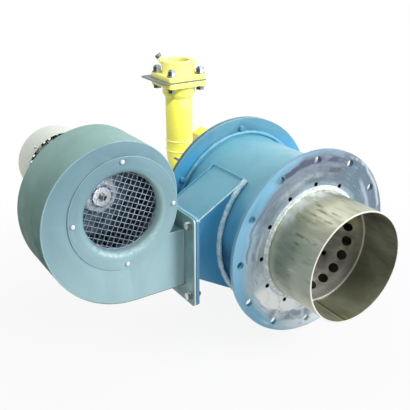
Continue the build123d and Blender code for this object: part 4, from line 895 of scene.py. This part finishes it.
# ---------------- paths and beads
def path_of(name, points, closed):
    """A 3-D curve of straight steps through the points."""
    curve = bpy.data.curves.new(name, "CURVE")
    curve.dimensions = "3D"
    spline = curve.splines.new("POLY")
    spline.points.add(len(points) - 1)
    for knot, point in zip(spline.points, points):
        knot.co = (*point, 1.0)
    spline.use_cyclic_u = closed
    return curve


def circle(radius, steps):
    """Points of a circle round the origin, as pairs."""
    return [(radius * cos(2 * pi * k / steps), radius * sin(2 * pi * k / steps)) for k in range(steps)]


def circle_y(radius, y, x=0.0, z=0.0):
    """Points of a circle across the burner's axis."""
    return [(x + across, y, z + up) for across, up in circle(radius, 144)]


def circle_z(radius, z, x, y):
    """Points of a level circle."""
    return [(x + across, y + along, z) for across, along in circle(radius, 96)]


def bead(name, points, radius, material, slot, closed=True, pitch=3.2, ripple=0.10):
    """A weld bead along the points. Radius and pitch are in millimetres."""
    path = path_of(name + "_path", points, closed)
    thing = grow(name, BEAD, path, material, Radius=radius * MM, Pitch=pitch * MM, Ripple=ripple)
    return placed(thing, "burner", slot)


# ---------------- the CAD pieces in their finishes
dressed("front_flange", FLANGE, edge=0.8)
dressed("flame_tube", TUBE, edge=0.7)
dressed("flame_cone", CONE, edge=0.3, angle=40)
for material, *nodes in (
    (DRUM_BLUE, "drum"),
    (REAR_BLUE, "rear_flange"),
    (BLUE_SHADE, "rear_cover"),
    (BLUE, "air_duct"),
    (PLATE_BLUE, "duct_plate"),
    (BLUE, "lance_flange"),
    (RUBBER, "cover_gasket", "outlet_gasket"),
    (FAN_FLANGE, "fan_flange"),
    (FAN, "fan_front_plate"),
    (WRAP, "fan_scroll", "fan_rear_plate"),
    (INLET, "inlet_ring"),
    (FINS, "motor_frame"),
    (CREAM, "front_shield", "rear_shield"),
    (COWL, "fan_cowl"),
    (ALLOY, "terminal_box", "terminal_lid"),
    (BLACK, "terminal_block", "cable_gland"),
    (HEAD_STEEL, "gas_head"),
    (YELLOW, "gas_lance", "gas_elbow", "riser_spool", "gas_riser", "lower_gas_flange"),
    (HUB_YELLOW, "upper_gas_flange"),
    (RUBBER, "gas_gaskets"),
    (SLIP_STEEL, "slip_plate"),
    (DARK_STEEL, "hub_plug"),
    (YELLOW, "stub_pipe", "stub_cap"),
    (CERAMIC, "insulators"),
    (SHAFT, "ignition_electrode", "flame_probe"),
    (BRASS, "electrode_collars"),
    (CORE, "stator_core"),
    (COPPER, "stator_windings"),
    (SHAFT, "front_bearing", "rear_bearing"),
    (INLET_ZINC, "inlet_screws"),
    (ZINC, "cowl_screws", "lid_screws", "motor_screws", "lance_bolts"),
    (BLUE, "cover_bolts"),
    (OUTLET_ZINC, "outlet_bolts"),
    (GAS_ZINC, "gas_bolts"),
):
    for node in nodes:
        dressed(node, material, edge=0.3)
for node, material in (
    ("impeller", GALVANISED),
    ("impeller_hub", SHAFT),
    ("hub_washer", WHITE_ZINC),
    ("hub_screw", DARK_STEEL),
    ("motor_shaft", SHAFT),
    ("rotor_core", CORE),
    ("cooling_fan", BLACK),
):
    dressed(node, material, body="rotor", edge=0.2)

# ---------------- inlet guard
guard_slot = slot_of["wire_guard"]
guard_middle = middle("wire_guard")
guard_pitch = 9.7 * MM
guard_wire = 1.05 * MM
guard_turns = (-26, 64)  # how the weave's two layers lie in the throat, in degrees
guard_reach = throat_radius - 0.8 * MM  # how far out the wires go
guard_rows = 2 * int((throat_radius - 2.4 * MM) / guard_pitch) + 1
guard_frame = Matrix.Translation(guard_middle) @ Matrix.Rotation(radians(90), 4, "X")
for layer, side in enumerate((1.0, -1.0)):
    seed = bpy.data.meshes.new("guard_seed")
    seed.from_pydata([(0, 0, 0)], [], [])
    wires = grow(
        f"guard_wires_{layer + 1}",
        GUARD,
        seed,
        WIRE,
        Radius=guard_reach,
        Pitch=guard_pitch,
        Wire=guard_wire,
        Count=guard_rows,
        Side=side,
    )
    wires.data.transform(guard_frame @ Matrix.Rotation(radians(guard_turns[layer]), 4, "Z"))
    placed(wires, "burner", guard_slot, *(("wire_guard",) if side > 0 else ()))
guard_rim = circle_y(throat_radius - 1.0 * MM, guard_middle.y, fan_centre.x, fan_centre.z)
bead("guard_rim", guard_rim, 0.9, WIRE, guard_slot, ripple=0.0)

# ---------------- weld beads
steel_slot = slot_of["front_flange"]
blue_slot = slot_of["drum"]
yellow_slot = slot_of["gas_riser"]
# round the tube, with the weld's spread toe on the flange, and round the drum's back end
tube_weld = circle_y(tube_radius + 3.2 * MM, -2.6 * MM)
tube_weld_toe = circle_y(tube_radius + 7.0 * MM, -0.6 * MM)
drum_weld = circle_y(drum_radius + 2.4 * MM, drum_back - 2.4 * MM)
bead("flange_weld", tube_weld, 3.9, WELD_STEEL, steel_slot, ripple=0.06, pitch=5.0)
bead("flange_weld_toe", tube_weld_toe, 2.2, WELD_STEEL, steel_slot)
bead("drum_rear_weld", drum_weld, 3.8, BLUE_FILLET, blue_slot, ripple=0.03)
# where the duct's flat sides meet the drum
duct_root_x = -sqrt(drum_radius**2 - duct_root_z**2)
root_angle = asin(duct_root_z / drum_radius)
root_radius = drum_radius + 0.8 * MM
root_steps = 90
root_angles = [pi - root_angle + 2 * root_angle * k / root_steps for k in range(root_steps + 1)]
for name, y, radius, material in (
    ("duct_near_weld", duct_near - 2.4 * MM, 5.4, BLUE_WELD),
    ("duct_far_weld", duct_far + 1.4 * MM, 3.0, BLUE),
):
    points = [(root_radius * cos(angle), y, root_radius * sin(angle)) for angle in root_angles]
    bead(name, points, radius, material, blue_slot, closed=False, ripple=0.06)
# along the duct's upper edges, from the mouth to the drum, and across its top and bottom at the drum
for name, y, radius, material, ripple in (
    ("duct_near_edge_weld", duct_near, 1.3, BLUE_WELD, 0.10),
    ("duct_far_edge_weld", duct_far, 1.0, BLUE, 0.04),
):
    edge = ((duct_mouth_x, y, duct_mouth_top), (duct_root_x, y, duct_root_z))
    bead(name, edge, radius, material, blue_slot, closed=False, ripple=ripple)
for name, z in (("duct_root_top_weld", duct_root_z), ("duct_root_bottom_weld", -duct_root_z)):
    root = ((duct_root_x, duct_near, z), (duct_root_x, duct_far, z))
    bead(name, root, 1.3, BLUE, blue_slot, closed=False, ripple=0.04)
# round the duct's mouth, a little off its sheet
mouth_off = 0.8 * MM
near_y = duct_near - mouth_off
far_y = duct_far + mouth_off
corners = (
    (near_y, duct_mouth_bottom),
    (near_y, duct_mouth_top),
    (far_y, duct_mouth_top),
    (far_y, duct_mouth_bottom),
)
mouth = [(duct_mouth_x + mouth_off, y, z) for y, z in corners]
bead("duct_mouth_weld", mouth, 2.0, BLUE, blue_slot, ripple=0.06)
# round both ends of the riser's spool
spool_inset = 1.5 * MM
for name, z in (
    ("spool_lower_weld", low("riser_spool").z + spool_inset),
    ("spool_upper_weld", high("riser_spool").z - spool_inset),
):
    ring = circle_z(riser_radius - 0.3 * MM, z, riser_centre.x, riser_centre.y)
    bead(name, ring, 2.0, YELLOW_WELD, yellow_slot, ripple=0.05)


# ---------------- seams of the fan's front
def outline_of(node, y):
    """The outer outline of a flat CAD node's face at depth y, as points in order."""
    shape = bmesh.new()
    shape.from_mesh(frame["nodes"][node].data)
    bmesh.ops.remove_doubles(shape, verts=shape.verts, dist=merge_distance)
    shape.normal_update()
    forward = {face for face in shape.faces if face.normal.y < -0.99}
    flat = {face for face in forward if abs(face.calc_center_median().y - y) < 0.1 * MM}
    rim = [edge for edge in shape.edges if sum(face in flat for face in edge.link_faces) == 1]
    loops = []
    while rim:
        edge = rim.pop()
        chain = [edge.verts[0], edge.verts[1]]
        while chain[-1] is not chain[0]:
            following = next((other for other in rim if chain[-1] in other.verts), None)
            if following is None:
                break
            rim.remove(following)
            chain.append(following.other_vert(chain[-1]))
        loops.append([vert.co.copy() for vert in chain[:-1]])
    shape.free()
    return max(loops, key=lambda loop: max(point.x for point in loop) - min(point.x for point in loop))


seam_inset = 1.1 * MM
seam_depth = 0.5 * MM  # how far both seams' middles lie behind the faces
outline = outline_of("fan_front_plate", fan_front)
seam = [point + (fan_centre - point).normalized() * seam_inset for point in outline]
seam = [(point.x, fan_front + seam_depth, point.z) for point in seam]
bead("fan_front_seam", seam, 0.9, SEAM, slot_of["fan_front_plate"], ripple=0.0)
ring_rim = circle_y(ring_radius - 0.3 * MM, ring_front + seam_depth, fan_centre.x, fan_centre.z)
bead("inlet_ring_rim", ring_rim, 0.6, SEAM, slot_of["inlet_ring"], ripple=0.0)

# ---------------- floor, light and camera
floor_z = cad_box[0].z - 0.5 * MM
floor_half = 12.0
floor_grey = (0.6, 0.6, 0.6, 1.0)
shadow_x, shadow_y = -0.15, 0.15  # middle of the floor's part that shows a shadow
shadow_inner, shadow_outer = 0.42, 0.95  # where it starts to fade, and where it ends
surround_tone = (0.97, 0.985, 1.0, 1)
surround_strength = 0.52
lamp_target = (-0.15, 0.1, 0.05)
lens_length = 55.99
eye_place = (-0.77646, -0.81925, 0.55566)
eye_tilt, eye_heading = 66.82, -32.88  # degrees


def seen_ray(nodes):
    """1 for rays that show the background: straight to the viewer, mirrored or through glass."""
    path = nodes.add("ShaderNodeLightPath").outputs
    direct_or_mirrored = nodes.math("MAXIMUM", path["Is Camera Ray"], path["Is Glossy Ray"])
    return nodes.math("MAXIMUM", direct_or_mirrored, path["Is Transmission Ray"])


def blended(nodes, share, first, second, end):
    """Joins two shaders to a tree's end: the second one where the share is high."""
    blend = nodes.add("ShaderNodeMixShader", {0: share, 1: first.outputs[0], 2: second.outputs[0]})
    nodes.join(blend.outputs[0], nodes.graph.nodes[end].inputs[0])


def lamp(kind, name, place, target, power):
    """A lamp at a place, turned to its target."""
    light = bpy.data.lights.new(name, kind)
    light.energy = power
    holder = bpy.data.objects.new(name, light)
    bpy.context.scene.collection.objects.link(holder)
    holder.location = place
    aim = Vector(target) - Vector(place)
    holder.rotation_euler = aim.to_track_quat("-Z", "Y").to_euler()
    return light


def floor():
    """A white floor that keeps a soft shadow."""
    finish = Finish("floor_white", roughness=0.9)
    finish.colour(floor_grey)
    glow = finish.add("ShaderNodeEmission", {"Strength": 1.0})
    reach = finish.away(finish.x, finish.y, shadow_x, shadow_y)
    fade = finish.spread(reach, shadow_inner, shadow_outer, 0.9, 1.0)
    share = finish.times(seen_ray(finish), fade)
    blended(finish, share, finish.shader, glow, "Material Output")
    mesh = bpy.data.meshes.new("floor")
    corners = [(x * floor_half, y * floor_half, floor_z) for x, y in ((-1, -1), (1, -1), (1, 1), (-1, 1))]
    mesh.from_pydata(corners, [], [(0, 1, 2, 3)])
    object_of("floor", mesh, finish.material)


def surrounding():
    """A white background over a softer surrounding light."""
    world = bpy.data.worlds.new("surrounding")
    bpy.context.scene.world = world
    world.use_nodes = True
    nodes = Nodes(world.node_tree)
    plain = nodes.graph.nodes["Background"]
    plain.inputs["Color"].default_value = surround_tone
    plain.inputs["Strength"].default_value = surround_strength
    bright = nodes.add("ShaderNodeBackground", {"Color": (1, 1, 1, 1)})
    blended(nodes, seen_ray(nodes), plain, bright, "World Output")


def lamps():
    """Two soft lamps, and two narrow ones on the gas riser and the fan's front."""
    for name, place, size, power in (
        ("key", (1.2, -1.9, 1.4), 1.3, 62.0),
        ("top", (0.1, 0.3, 2.3), 1.6, 17.0),
    ):
        light = lamp("AREA", name, place, lamp_target, power)
        light.shape = "DISK"
        light.size = size
    for name, place, target, width, power in (
        ("riser_spot", (-0.35, -0.75, 1.25), (riser_centre.x, riser_centre.y, 0.17), 11, 76.0),
        ("fan_spot", (-0.2, -1.0, 0.36), (fan_centre.x, 0.19, fan_centre.z), 5.5, 34.0),
    ):
        light = lamp("SPOT", name, place, target, power)
        light.spot_size = radians(width)
        light.spot_blend = 0.5
        light.shadow_soft_size = 0.02


def camera():
    """The viewer's place: left of the burner's nose, a little above it."""
    lens = bpy.data.cameras.new("camera")
    lens.sensor_width = 36
    lens.lens = lens_length
    eye = bpy.data.objects.new("camera", lens)
    bpy.context.scene.collection.objects.link(eye)
    eye.location = eye_place
    eye.rotation_euler = (radians(eye_tilt), 0, radians(eye_heading))
    bpy.context.scene.camera = eye


floor()
surrounding()
lamps()
camera()
bpy.context.scene.view_settings.view_transform = "Standard"
